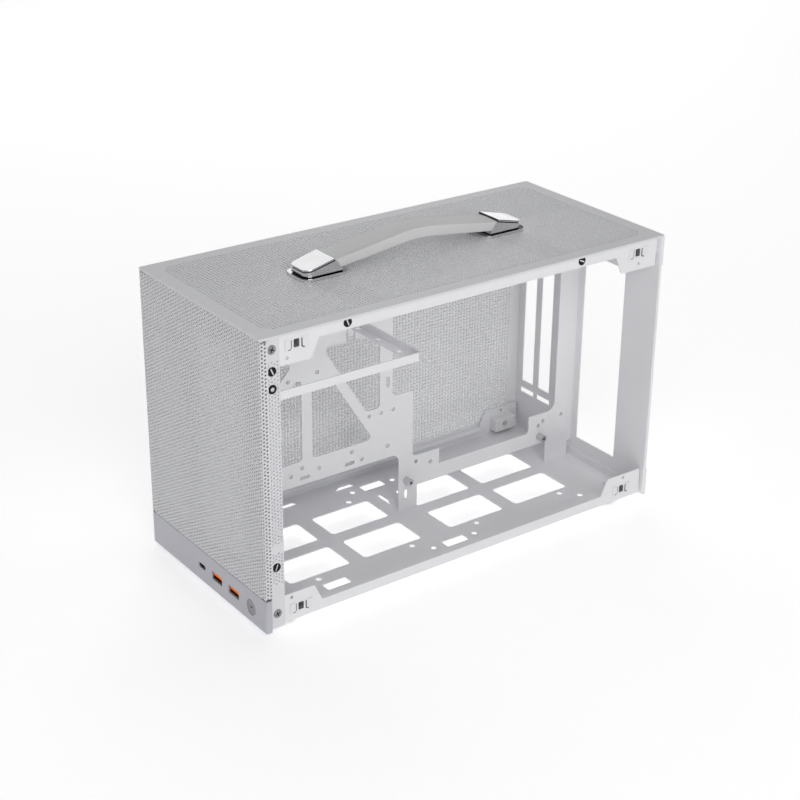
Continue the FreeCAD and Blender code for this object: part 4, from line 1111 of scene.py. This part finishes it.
@dataclass(frozen=True)
class ScrewHead:
    """A low screw head with its driving recess."""

    drive: Drive
    turn: float
    wide: float = 6.4 * MM
    tall: float = 0.5 * MM
    recess: float = 0.38 * MM
    taper: float = 0.86
    socket: float = 1.5 * MM
    slot: Spot = (2.55 * MM, 0.5 * MM)
    cross: Spot = (1.9 * MM, 0.48 * MM)

    def outline(self) -> list[Spot]:
        """Outline of the recess, counter-clockwise.

        Returns:
            Its corners.
        """
        if self.drive is Drive.SOCKET:
            return [(self.socket * math.cos(k * math.pi / 6), self.socket * math.sin(k * math.pi / 6))
                    for k in range(12)]
        if self.drive is Drive.SLOT:
            long, half = self.slot
            spots = [(-long, -half), (long, -half), (long, half), (-long, half)]
        else:
            long, half = self.cross
            spots = []
            for k in range(4):
                c, s = (1, 0, -1, 0)[k], (0, 1, 0, -1)[k]
                for u, v in ((half, -half), (long, -half), (long, half)):
                    spots.append((u * c - v * s, u * s + v * c))
        c, s = math.cos(self.turn), math.sin(self.turn)
        return [(u * c - v * s, u * s + v * c) for u, v in spots]

    def add(self, shape: Shape, place: Callable[[Spot, float], Vector], metal: int, painted_recess: int) -> None:
        """Add the head to a shape.

        Args:
            shape: Shape to add to.
            place: Gives a place from a spot on the seat and a height over it.
            metal: Number of the head's finish.
            painted_recess: Number of the recess's finish: dark for painted shade in grey heads, bright steel
                for a painted highlight in black heads.
        """
        radius, count = self.wide / 2, 32
        rows = ((1.0, 0.0), (1.0, 0.45), (0.95, 0.8), (0.86, 1.0))
        rings = [shape.ring(place((radius * share * math.cos(k * math.tau / count),
                                   radius * share * math.sin(k * math.tau / count)), self.tall * lift)
                            for k in range(count)) for share, lift in rows]
        for first, second in zip(rings, rings[1:]):
            shape.band(first, second, metal, True)
        outline = self.outline()
        mouth = shape.ring(place(spot, self.tall) for spot in outline)
        floor = shape.ring(place((u * self.taper, v * self.taper), self.tall - self.recess)
                           for u, v in outline)
        for corners in self.plate(rings[-1], mouth, outline):
            shape.face(corners, metal)
        shape.band(mouth, floor, painted_recess)
        shape.face(floor, painted_recess)

    def plate(self, rim: Corners, mouth: Corners, outline: list[Spot]) -> list[list[int]]:
        """Faces of the flat top between its rim and the recess.

        Args:
            rim: Points of the rim.
            mouth: Points of the recess.
            outline: Places of the recess corners.

        Returns:
            The faces' corners.
        """
        count = len(rim)
        around = [k * math.tau / count for k in range(count)]
        angles = [math.atan2(v, u) for u, v in outline]
        nearest = [min(range(count), key=lambda k: abs(math.remainder(angle - around[k], math.tau)))
                   for angle in angles]
        faces = []
        for index in range(len(mouth)):
            after = (index + 1) % len(mouth)
            begin, end = nearest[index], nearest[after]
            steps = (end - begin) % count
            walk = [rim[(begin + k) % count] for k in range(steps + 1)]
            faces.append([mouth[after], mouth[index]] + walk)
        return faces


class Screws:
    """Screw heads in the strips, the bracket and the top rails."""

    FINISHES = (SCREW, BLACK, DARK, STEEL)
    # Grey heads get dark recesses as painted shade; black heads get bright steel recesses as a painted
    # highlight.
    GREY = (Drive.CROSS, SCREW, DARK)
    SLOTTED = (Drive.SLOT, BLACK, STEEL)
    RINGED = (Drive.SOCKET, BLACK, STEEL)
    HEADS = {"strip_screws": (GREY, SLOTTED, SLOTTED, GREY), "bracket_screws": (RINGED,),
             "rail_screws": (SLOTTED,)}
    FIRST_TURN = 0.35
    TURN_STEP = 0.8

    def __init__(self, nodes: dict[str, bpy.types.Object]) -> None:
        """Take the nodes.

        Args:
            nodes: The frame's nodes.
        """
        self.nodes = nodes

    def centres(self, node: str) -> list[Vector]:
        """Seat centre of each head in a group.

        Args:
            node: Name of the group's node.

        Returns:
            The centres, on the face that carries them.
        """
        mesh = bmesh.new()
        mesh.from_mesh(self.nodes[node].data)
        bmesh.ops.remove_doubles(mesh, verts=mesh.verts, dist=1e-6)
        found, left = [], set(mesh.verts)
        while left:
            island, queue = [], [left.pop()]
            while queue:
                vertex = queue.pop()
                island.append(vertex.co.copy())
                for edge in vertex.link_edges:
                    other = edge.other_vert(vertex)
                    if other in left:
                        left.remove(other)
                        queue.append(other)
            low = Vector([min(co[i] for co in island) for i in range(3)])
            high = Vector([max(co[i] for co in island) for i in range(3)])
            seat = low.x if low.x > 0 else high.x
            found.append(Vector((seat, (low.y + high.y) / 2, (low.z + high.z) / 2)))
        mesh.free()
        return sorted(found, key=lambda spot: (spot.x, spot.z, spot.y))

    def build(self) -> None:
        """Build each group as one piece in place of its node."""
        for node, styles in self.HEADS.items():
            shape = Shape()
            for number, centre in enumerate(self.centres(node)):
                drive, metal, painted_recess = styles[number % len(styles)]
                out = 1.0 if centre.x > 0 else -1.0

                def place(spot: Spot, lift: float, centre: Vector = centre, out: float = out) -> Vector:
                    """A place over the seat of this head."""
                    return centre + Vector((out * lift, out * spot[0], spot[1]))

                head = ScrewHead(drive, self.FIRST_TURN + self.TURN_STEP * number)
                head.add(shape, place, self.FINISHES.index(metal), self.FINISHES.index(painted_recess))
            made = shape.piece("heads_" + node, self.FINISHES, "case", [node])


@dataclass(frozen=True)
class HandleSizes:
    """Sizes of the carrying strap and its ends, in metres."""

    wide: float = 22.6 * MM
    crown: float = 20.6 * MM
    thick: float = 8.5 * MM
    end: float = 6.6 * MM
    radius: float = 122.0 * MM
    edge: float = 1.3 * MM
    cap_outer: float = 95.0 * MM
    cap_inner: float = 71.0 * MM
    cap_toe: float = 64.0 * MM
    cap_low: float = 7.2 * MM
    cap_high: float = 11.2 * MM
    cap_wide: float = 23.0 * MM
    cap_round: float = 6.0 * MM
    base: float = 2.0 * MM
    lid: float = 1.0 * MM
    lid_edge: tuple[Spot, ...] = ((0.0, 0.35 * MM), (0.12 * MM, 0.1 * MM), (0.4 * MM, 0.0))
    groove: float = 0.8 * MM
    groove_deep: float = 0.9 * MM
    plinth: float = 0.7 * MM
    sag: float = 0.25 * MM
    stations: int = 72
    side_strips: int = 9


class Handle:
    """Hide strap between two polished end blocks."""

    def __init__(self, sizes: HandleSizes) -> None:
        """Take the sizes.

        Args:
            sizes: Sizes of the handle.
        """
        self.sizes = sizes
        self.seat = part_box("top_panel")[1].z

    def build(self) -> None:
        """Build strap and end blocks in place of their nodes."""
        self.strap()
        for name, sign in (("front", -1.0), ("rear", 1.0)):
            self.cap(name, sign)

    def rise(self, y: float, reach: float, end: float, radius: float) -> float:
        """Height of a straight-armed crown line.

        Args:
            y: Place along the strap.
            reach: Half length of the line.
            end: Height at its ends.
            radius: Crown radius.

        Returns:
            Height at the place.
        """
        centre = self.seat + self.sizes.crown - self.sizes.radius
        drop = end - centre
        away = math.hypot(reach, drop)
        tangent = math.atan2(reach, drop) - math.acos(radius / away)
        turn = radius * math.sin(tangent)
        if abs(y) <= turn:
            return centre + math.sqrt(radius ** 2 - y ** 2)
        level = centre + radius * math.cos(tangent)
        return level + (end - level) * (abs(y) - turn) / (reach - turn)

    def strap(self) -> None:
        """Build the padded strap as a loft of soft-edged sections."""
        s = self.sizes
        top_end = self.seat + s.cap_high
        low_end = top_end - s.end
        low_reach = s.cap_inner - (s.cap_inner - s.cap_toe) * s.end / (s.cap_high - s.base)
        rings = []
        for station in range(s.stations + 1):
            share = 2.0 * station / s.stations - 1.0
            y, under = share * s.cap_inner, share * low_reach
            high = Vector((0, y, self.rise(y, s.cap_inner, top_end, s.radius)))
            low = Vector((0, under, self.rise(under, low_reach, low_end, s.radius - s.thick)))
            rings.append(self.section(low, high))
        shape = Shape()
        count = len(rings[0])
        # The top strips take the darker hide and the side strips the lighter one: painted shade and light.
        cover = range(s.side_strips, count - s.side_strips - 1)
        shape.loft(rings, numbers=[0 if index in cover else 1 for index in range(count)])
        strap = shape.piece("strap_hide", [SHADED_STRAP_TOP, LIT_STRAP_SIDE], "case", ["handle_strap"])

    def section(self, low: Vector, high: Vector) -> list[Vector]:
        """One section of the strap: slightly crowned top and rounded edges.

        Args:
            low: Middle of the underside.
            high: Middle of the top.

        Returns:
            Its places.
        """
        s = self.sizes
        thick = (high - low).length
        up = (high - low) / thick
        half, edge = s.wide / 2, s.edge
        places: list[Spot] = []
        for u, v, start in ((half - edge, edge, -90), (half - edge, thick - edge, 0)):
            angles = [math.radians(start + 15 * k) for k in range(7)]
            places += [(u + edge * math.cos(angle), v + edge * math.sin(angle)) for angle in angles]
        crown = [(u, thick + s.sag * (1 - (u / (half - edge)) ** 2) - s.sag)
                 for u in (0.5 * half, 0.0, -0.5 * half)]
        places = [(u, v - s.sag if v >= thick - 1e-9 else v) for u, v in places]
        mirrored = [(-u, v) for u, v in reversed(places)]
        return [low + up * v + Vector((u, 0, 0)) for u, v in places + crown + mirrored]

    def cap(self, name: str, sign: float) -> None:
        """Build one end block: a lid over a groove painted dark as shade, over the body.

        Args:
            name: Front or rear.
            sign: -1 for the front and 1 for the rear.
        """
        s = self.sizes
        shape = Shape()
        floor = self.seat + s.base
        plan = self.plan()

        def top(y: float) -> float:
            """Height of the sloping top."""
            slope = (s.cap_high - s.cap_low) / (s.cap_outer - s.cap_inner)
            return self.seat + s.cap_high - (y - s.cap_inner) * slope

        def face(y: float, z: float) -> float:
            """Place outwards, kept behind the leaning inner face."""
            lean = (s.cap_inner - s.cap_toe) / (s.cap_high - s.base)
            return max(y, s.cap_toe + (z - floor) * lean)

        def ring(inset: float, drop: float, lift: float | None = None) -> list[Vector]:
            """One outline of the block.

            Args:
                inset: Distance inside the plan.
                drop: Distance below the top.
                lift: Height over the foot plate, in place of the drop.

            Returns:
                Its places.
            """
            places = []
            for x, y in plan:
                x, y = self.shrunk(x, y, inset)
                z = top(y) - drop if lift is None else floor + lift
                places.append(Vector((x, sign * face(y, z), z)))
            return places if sign > 0 else places[::-1]

        lid = [ring(0.0, s.lid)] + [ring(inset, drop) for inset, drop in s.lid_edge]
        shape.loft(lid, 0, False)
        # The groove and the foot ring take the near-black chrome: painted shade in the seams.
        shape.loft([ring(s.groove_deep, s.lid + s.groove), ring(s.groove_deep, s.lid)], 1, False)
        shape.loft([ring(0.0, 0.0, s.plinth), ring(0.0, s.lid + s.groove)], 0, False)
        shape.loft([ring(s.groove_deep, 0.0, 0.0), ring(s.groove_deep, 0.0, s.plinth)], 1, False)
        shape.piece("end_block_" + name, [CHROME, SHADE_SEAM], "case", ["handle_cap_" + name])

    def plan(self) -> list[Spot]:
        """Plan outline of an end block, counter-clockwise, with y outwards.

        Returns:
            Its places.
        """
        s = self.sizes
        half, radius = s.cap_wide / 2, s.cap_round
        places = [(-half, s.cap_toe), (half, s.cap_toe)]
        for x, start in ((half - radius, 0), (radius - half, 90)):
            angles = [math.radians(start + 9 * k) for k in range(11)]
            places += [(x + radius * math.cos(angle), s.cap_outer - radius + radius * math.sin(angle))
                       for angle in angles]
        return places

    def shrunk(self, x: float, y: float, inset: float) -> Spot:
        """A plan place moved inwards.

        Args:
            x: Place across.
            y: Place outwards.
            inset: Distance to move.

        Returns:
            The moved place.
        """
        s = self.sizes
        if not inset:
            return x, y
        side, end = s.cap_wide / 2 - s.cap_round, s.cap_outer - s.cap_round
        corner = Vector((max(abs(x) - side, 0.0), max(y - end, 0.0)))
        if corner.length > 1e-9 and y > end:
            corner = corner * (1 - inset / corner.length)
            return math.copysign(side + corner.x, x), end + corner.y
        return math.copysign(abs(x) - inset, x), y


@dataclass(frozen=True)
class ClipSizes:
    """Sizes of a panel clip's face, in metres."""

    seat: float = 1.6 * MM
    plate: float = 1.0 * MM
    pad_low: float = 0.2 * MM
    long: float = 18.0 * MM
    tall: float = 8.9 * MM
    pad: float = 4.6 * MM
    pad_half: float = 3.4 * MM
    bevel: float = 0.8 * MM
    slit: float = 0.75 * MM
    slit_reach: Spot = (-0.05 * MM, 0.03 * MM)
    hook: float = 1.2 * MM
    socket: Spot = (2.2 * MM, 2.9 * MM)


class Clips:
    """Panel clips of the open side: moulded body, sprung pads, slits drawn as dark plates for painted shade,
    and a socket wall painted grey for shade.
    """

    SOCKET_WALL = 4

    def __init__(self, nodes: Sequence[str], sizes: ClipSizes) -> None:
        """Take the clips' nodes and sizes.

        Args:
            nodes: Names of the nodes.
            sizes: Sizes of a clip's face.
        """
        self.nodes = nodes
        self.sizes = sizes

    def build(self) -> None:
        """Build each clip in place of its node."""
        for node in self.nodes:
            self.clip(node)

    def clip(self, node: str) -> None:
        """Build one clip.

        Args:
            node: Name of its node.
        """
        s = self.sizes
        low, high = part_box(node)
        centre = (low + high) / 2
        face = high.x - s.seat + s.plate
        shape = Shape()
        body = ((high.y - low.y) / 2, (high.z - low.z) / 2)
        front = (s.long / 2, s.tall / 2)
        rings = [shape.ring(self.outline(half, x, centre)) for half, x in (
            (body, low.x), (body, high.x - s.seat), (front, high.x - s.seat), (front, face),
            (s.socket, face), (s.socket, low.x))]
        # The socket wall takes the grey copy of the clip plastic: painted shade.
        for number, (first, second) in enumerate(zip(rings, rings[1:] + rings[:1])):
            shape.band(first, second, 2 if number == self.SOCKET_WALL else 0)
        for sign in (1.0, -1.0):
            self.relief(shape, self.pad(), sign, (face, high.x - s.pad_low), centre, 0)
            # Each slit is a thin dark plate at the face: painted shade in the gap beside the pad.
            slit = (face + s.slit_reach[0], face + s.slit_reach[1])
            self.relief(shape, self.groove(), sign, slit, centre, 1)
        shape.piece("panel_" + node, [CLIP, DARK, SOCKET], "case", [node])

    def outline(self, half: Spot, x: float, centre: Vector) -> list[Vector]:
        """A rectangle of 32 places round a clip's axis.

        Args:
            half: Half length and half height.
            x: Place along the axis.
            centre: Centre of the clip.

        Returns:
            The places, counter-clockwise from outside.
        """
        places = []
        slant = math.atan2(self.sizes.tall, self.sizes.long)
        for quarter in range(4):
            corner = math.pi / 2 - slant if quarter % 2 else slant
            for k in range(8):
                turn = corner * k / 4 if k < 4 else corner + (math.pi / 2 - corner) * (k - 4) / 4
                angle = turn + quarter * math.pi / 2
                u, v = math.cos(angle), math.sin(angle)
                reach = min(half[0] / max(abs(u), 1e-9), half[1] / max(abs(v), 1e-9))
                places.append(Vector((x, centre.y + reach * u, centre.z + reach * v)))
        return places

    def pad(self) -> list[Spot]:
        """Outline of the right pad, with bevelled inner corners.

        Returns:
            Its corners from the socket, counter-clockwise.
        """
        s = self.sizes
        inner, outer, half = s.long / 2 - s.pad, s.long / 2 - s.slit / 4, s.pad_half
        return [(inner + s.bevel, -half), (outer, -half), (outer, half), (inner + s.bevel, half),
                (inner, half - s.bevel), (inner, s.bevel - half)]

    def groove(self) -> list[Spot]:
        """Outline of the painted shadow that fills the slit round the right pad's inner end.

        Returns:
            Its corners from the socket, counter-clockwise.
        """
        s = self.sizes
        inner, half = s.long / 2 - s.pad, s.pad_half
        edge = [(inner, half - s.bevel), (inner, s.bevel - half), (inner + s.bevel, -half),
                (inner + s.bevel + s.hook, -half)]
        shift = ((-s.slit, 0.0), (-s.slit, -0.4 * s.slit), (-0.4 * s.slit, -s.slit), (0.0, -s.slit))
        return [(u + a, v + b) for (u, v), (a, b) in zip(edge, shift)] + edge[::-1]

    def relief(self, shape: Shape, outline: list[Spot], sign: float, reach: Spot, centre: Vector,
               number: int) -> None:
        """Raise an outline from the clip's face.

        Args:
            shape: Shape to add to.
            outline: Outline on the right of the socket, counter-clockwise.
            sign: 1 for the right side and -1 for its mirror image.
            reach: Places where it starts and ends along the axis.
            centre: Centre of the clip.
            number: Number of the finish.
        """
        spots = outline if sign > 0 else outline[::-1]
        shape.loft([[Vector((x, centre.y + sign * u, centre.z + v)) for u, v in spots] for x in reach],
                   number, False)


@dataclass(frozen=True)
class PortSizes:
    """Sizes of the large ports' insides, in metres."""

    wall: float = 0.4 * MM
    shade_lining: float = 0.45 * MM
    shade_lining_front: float = 0.05 * MM
    shade_lining_back: float = 4.2 * MM
    block: float = 4.0 * MM
    block_tip: float = 4.6 * MM
    plate_side: float = 0.6 * MM
    plate_front: float = 0.1 * MM
    plate_top: float = 0.47 * MM
    plate_tip: float = 1.8 * MM
    underside: float = 0.1 * MM
    pins: int = 4
    pin_pitch: float = 2.3 * MM
    pin_half: float = 0.5 * MM
    pin_reach: Spot = (0.5 * MM, 7.5 * MM)
    pin_thick: float = 0.15 * MM
    pin_tip: float = 0.05 * MM
    nose: float = 0.3 * MM


class Ports:
    """Dark linings as painted shade, coloured tongues with a painted glow, and gilt contacts in the large
    front ports.
    """

    def __init__(self, sizes: PortSizes) -> None:
        """Take the sizes.

        Args:
            sizes: Sizes of the ports' insides.
        """
        self.sizes = sizes

    def build(self) -> None:
        """Build the inside of each large port."""
        for number in (1, 2):
            self.large(number)

    def large(self, number: int) -> None:
        """Line one large port with a dark sleeve of painted shade, build its tongue and lay contacts under
        it.

        Args:
            number: Which port.
        """
        s = self.sizes
        low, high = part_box("usb_a_shell_%d" % number)
        # A dark sleeve inside the metal shell: painted shade in the port's cavity.
        shade_lining = Shape()
        outer = (low.x + s.wall, high.x - s.wall, low.z + s.wall, high.z - s.wall)
        self.sleeve(shade_lining, outer, s.shade_lining, low.y + s.shade_lining_front, high.y - s.shade_lining_back)
        shade_lining.piece("port_shade_lining_%d" % number, [DARK], "case")
        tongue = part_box("usb_a_tongue_%d" % number)
        self.tongue(number, tongue, low)
        underside = (low.z + high.z) / 2 - s.underside
        contacts = Shape()
        middle = (low.x + high.x) / 2
        for pin in range(s.pins):
            x = middle + (pin - (s.pins - 1) / 2) * s.pin_pitch
            along = (tongue[0].y + s.pin_reach[0], tongue[0].y + s.pin_reach[1])
            self.bar(contacts, (x - s.pin_half, x + s.pin_half), along, (underside - s.pin_thick, underside),
                     s.pin_tip)
        contacts.piece("port_contacts_%d" % number, [PIN], "case")

    def tongue(self, number: int, box: tuple[Vector, Vector], mouth: Vector) -> None:
        """Build the coloured tongue of a large port: a block and a plate that ends just inside the mouth.

        Args:
            number: Which port.
            box: Box of the tongue's node.
            mouth: Lower front left corner of the port's shell.
        """
        s = self.sizes
        low, high = box
        root = high.y - s.block
        shape = Shape()
        self.bar(shape, (low.x, high.x), (root, high.y), (low.z, high.z), s.block_tip)
        plate = ((low.z + high.z) / 2 - s.underside, high.z - s.plate_top)
        self.bar(shape, (low.x + s.plate_side, high.x - s.plate_side), (mouth.y + s.plate_front, root), plate,
                 s.plate_tip)
        shape.piece("port_tongue_%d" % number, [ORANGE], "case", ["usb_a_tongue_%d" % number])

    def sleeve(self, shape: Shape, outer: tuple[float, float, float, float], thick: float, front: float,
               back: float) -> None:
        """Add a thin rectangular sleeve along y.

        Args:
            shape: Shape to add to.
            outer: Left, right, lower and upper side.
            thick: Wall of the sleeve.
            front: Front end.
            back: Back end.
        """
        def ring(inset: float, y: float) -> list[Vector]:
            """Four corners of the sleeve at one place along y."""
            left, right, low, high = outer[0] + inset, outer[1] - inset, outer[2] + inset, outer[3] - inset
            return [Vector((x, y, z)) for x, z in ((left, low), (right, low), (right, high), (left, high))]

        ends = ((0, back), (0, front), (thick, front), (thick, back))
        rings = [shape.ring(ring(inset, y)) for inset, y in ends]
        for first, second in zip(rings, rings[1:] + rings[:1]):
            shape.band(first, second)

    def bar(self, shape: Shape, x: Spot, y: Spot, z: Spot, tip: float) -> None:
        """Add a small bar with a bevelled front end.

        Args:
            shape: Shape to add to.
            x: Left and right side.
            y: Front and back end.
            z: Lower and upper side.
            tip: Height of the front end.
        """
        rings = []
        for at, low in ((y[1], z[0]), (y[0] + self.sizes.nose, z[0]), (y[0], z[1] - tip)):
            corners = ((x[0], low), (x[0], z[1]), (x[1], z[1]), (x[1], low))
            rings.append([Vector((across, at, height)) for across, height in corners])
        shape.loft(rings, soft=False)


class Dresser:
    """Gives the carried-over nodes their finishes and softened edges."""

    POLISHED_EDGE = 0.45 * MM
    PLAIN_EDGE = 0.16 * MM

    def __init__(self, nodes: dict[str, bpy.types.Object], slots: dict[str, str]) -> None:
        """Take the nodes and their slots.

        Args:
            nodes: The frame's nodes.
            slots: Material slot of each node.
        """
        self.nodes = nodes
        low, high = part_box("power_button")
        centre = ((low.x + high.x) / 2, (low.z + high.z) / 2)
        button = Spun("spun_button_face", "button_metal", (0.28, 0.28, 0.285), 0.3, centre=centre)
        finishes = (WHITE_COAT, SHADED_MESH_COAT, BAND, CLIP, DARK, ORANGE, MASK, STEEL, SCREW, BLACK, SHELL, FOOT,
                    SHADED_STRAP_TOP, CHROME, button)
        self.finishes = {finish.slot: finish for finish in finishes}
        self.slots = slots

    def dress(self) -> None:
        """Dress every node that still shows."""
        for name, node in self.nodes.items():
            if node.hide_render:
                continue
            finish = self.finishes[self.slots[name]]
            node.data.materials.clear()
            node.data.materials.append(finish.material())
            if finish in (WHITE_COAT, CLIP, BAND, CHROME, FOOT):
                self.soften(node, self.POLISHED_EDGE if finish is CHROME else self.PLAIN_EDGE)
            LOG.info("%s: %s", name, finish.name)

    def soften(self, node: bpy.types.Object, width: float) -> None:
        """Bevel a node's sharp edges.

        Args:
            node: The node.
            width: Bevel width.
        """
        weld = node.modifiers.new("Weld", "WELD")
        weld.merge_threshold = 1e-6
        bevel = node.modifiers.new("Bevel", "BEVEL")
        bevel.width = width
        bevel.segments = 2
        bevel.limit_method = "ANGLE"
        bevel.angle_limit = math.radians(50)
        bevel.harden_normals = True


@dataclass(frozen=True)
class Lamp:
    """One soft light."""

    name: str
    place: Triple
    aim: Triple
    size: Spot
    power: float

    def build(self) -> None:
        """Add the light."""
        data = bpy.data.lights.new(self.name, "AREA")
        data.shape = "RECTANGLE"
        data.size, data.size_y = self.size
        data.energy = self.power
        lamp = bpy.data.objects.new(self.name, data)
        lamp.location = self.place
        lamp.rotation_euler = (Vector(self.aim) - Vector(self.place)).to_track_quat("-Z", "Y").to_euler()
        bpy.context.scene.collection.objects.link(lamp)


@dataclass(frozen=True)
class View:
    """The photograph's camera."""

    azimuth: float = 53.43
    elevation: float = 24.45
    roll: float = 0.69
    focal: float = 1688.93
    centre: Spot = (407.91, 387.68)
    pixels: float = 800.0
    sensor: float = 36.0
    clip: Spot = (0.05, 60.0)
    target: Triple = (0.0, 0.0, 0.112)
    distance: float = 1.24347

    def build(self) -> None:
        """Add the camera and make it the scene's."""
        a, e, r = (math.radians(angle) for angle in (self.azimuth, self.elevation, self.roll))
        back = Vector((math.sin(a) * math.cos(e), -math.cos(a) * math.cos(e), math.sin(e)))
        right = Vector((math.cos(a), math.sin(a), 0))
        up = back.cross(right)
        across = right * math.cos(r) + up * math.sin(r)
        over = up * math.cos(r) - right * math.sin(r)
        data = bpy.data.cameras.new("photo_camera")
        data.sensor_width = self.sensor
        data.lens = self.focal * data.sensor_width / self.pixels
        data.shift_x = (self.pixels / 2 - self.centre[0]) / self.pixels
        data.shift_y = (self.centre[1] - self.pixels / 2) / self.pixels
        data.clip_start, data.clip_end = self.clip
        camera = bpy.data.objects.new("photo_camera", data)
        turn = Matrix((across, over, back)).transposed().to_4x4()
        camera.matrix_world = Matrix.Translation(Vector(self.target) + back * self.distance) @ turn
        bpy.context.scene.collection.objects.link(camera)
        bpy.context.scene.camera = camera


class Studio:
    """Pale floor, soft light and camera."""

    FLOOR_HALF = 14.0
    FLOOR_DROP = 0.4 * MM
    GLOW_REACH = (0.3, 2.5)
    GLOW_STRENGTH = 0.95
    SKY = (0.97, 0.98, 1.0, 1.0)
    SKY_STRENGTH = 0.05
    LAMPS = (
        Lamp("key_side", (2.3, -0.5, 1.3), (0.0, 0.0, 0.1), (1.8, 1.6), 16.5),
        Lamp("key_high", (1.7, -1.1, 1.9), (0.0, 0.0, 0.1), (1.5, 1.5), 11.5),
        Lamp("soft_top", (-0.2, 0.3, 2.4), (0.0, 0.0, 0.1), (2.4, 2.4), 15.5),
        Lamp("back_glow", (-1.62, 0.63, 1.55), (0.0, 0.0, 0.2), (1.6, 1.6), 7.2),
        Lamp("rear_glow", (-2.2, 2.05, 0.62), (0.0, 0.1, 0.2), (1.4, 1.1), 4.4),
    )

    def build(self) -> None:
        """Add floor, world, lights and camera."""
        self.floor()
        self.world()
        for lamp in self.LAMPS:
            lamp.build()
        View().build()
        bpy.context.scene.view_settings.view_transform = "Standard"

    def floor(self) -> None:
        """Add the pale floor."""
        half = self.FLOOR_HALF
        corners = [(-half, -half, 0), (half, -half, 0), (half, half, 0), (-half, half, 0)]
        mesh = bpy.data.meshes.new("floor")
        mesh.from_pydata(corners, [], [(0, 1, 2, 3)])
        tree = Tree("pale_floor")
        tint = tree.blend(tree.noise(3.0, 2.0), (0.86, 0.86, 0.86), (0.88, 0.88, 0.88))
        away = tree.add("ShaderNodeVectorMath", {"operation": "LENGTH"}, {0: tree.place()}, 1)
        glow = tree.blend(away.span(*self.GLOW_REACH), (0.53, 0.53, 0.53), (0.72, 0.72, 0.72))
        tree.surface({"Base Color": tint, "Roughness": 0.85, "Emission Color": glow,
                      "Emission Strength": self.GLOW_STRENGTH})
        mesh.materials.append(tree.material)
        floor = bpy.data.objects.new("floor", mesh)
        floor.location.z = -self.FLOOR_DROP
        bpy.context.scene.collection.objects.link(floor)

    def world(self) -> None:
        """Light the scene from an even pale sky."""
        world = bpy.data.worlds.new("studio")
        bpy.context.scene.world = world
        world.use_nodes = True
        sky = world.node_tree.nodes["Background"]
        sky.inputs["Color"].default_value = self.SKY
        sky.inputs["Strength"].default_value = self.SKY_STRENGTH


def main() -> None:
    """Dress the case and set the stage."""
    logging.basicConfig(level=logging.INFO, format="%(name)s: %(message)s")
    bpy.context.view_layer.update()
    screws = Screws(frame["nodes"])
    beside = [spot for node in ("strip_screws", "bracket_screws") for spot in screws.centres(node)]
    levels = sorted({round(spot.z, 5) for spot in beside})
    Skin(SkinSizes(), levels).build()
    screws.build()
    Handle(HandleSizes()).build()
    Ports(PortSizes()).build()
    Clips([name for name in frame["nodes"] if name.startswith("clip_near")], ClipSizes()).build()
    slots = {row["node"]: row["material_slot"] for row in frame["record"]["subparts"]}
    Dresser(frame["nodes"], slots).dress()
    Studio().build()


if __name__ == "__main__":
    main()
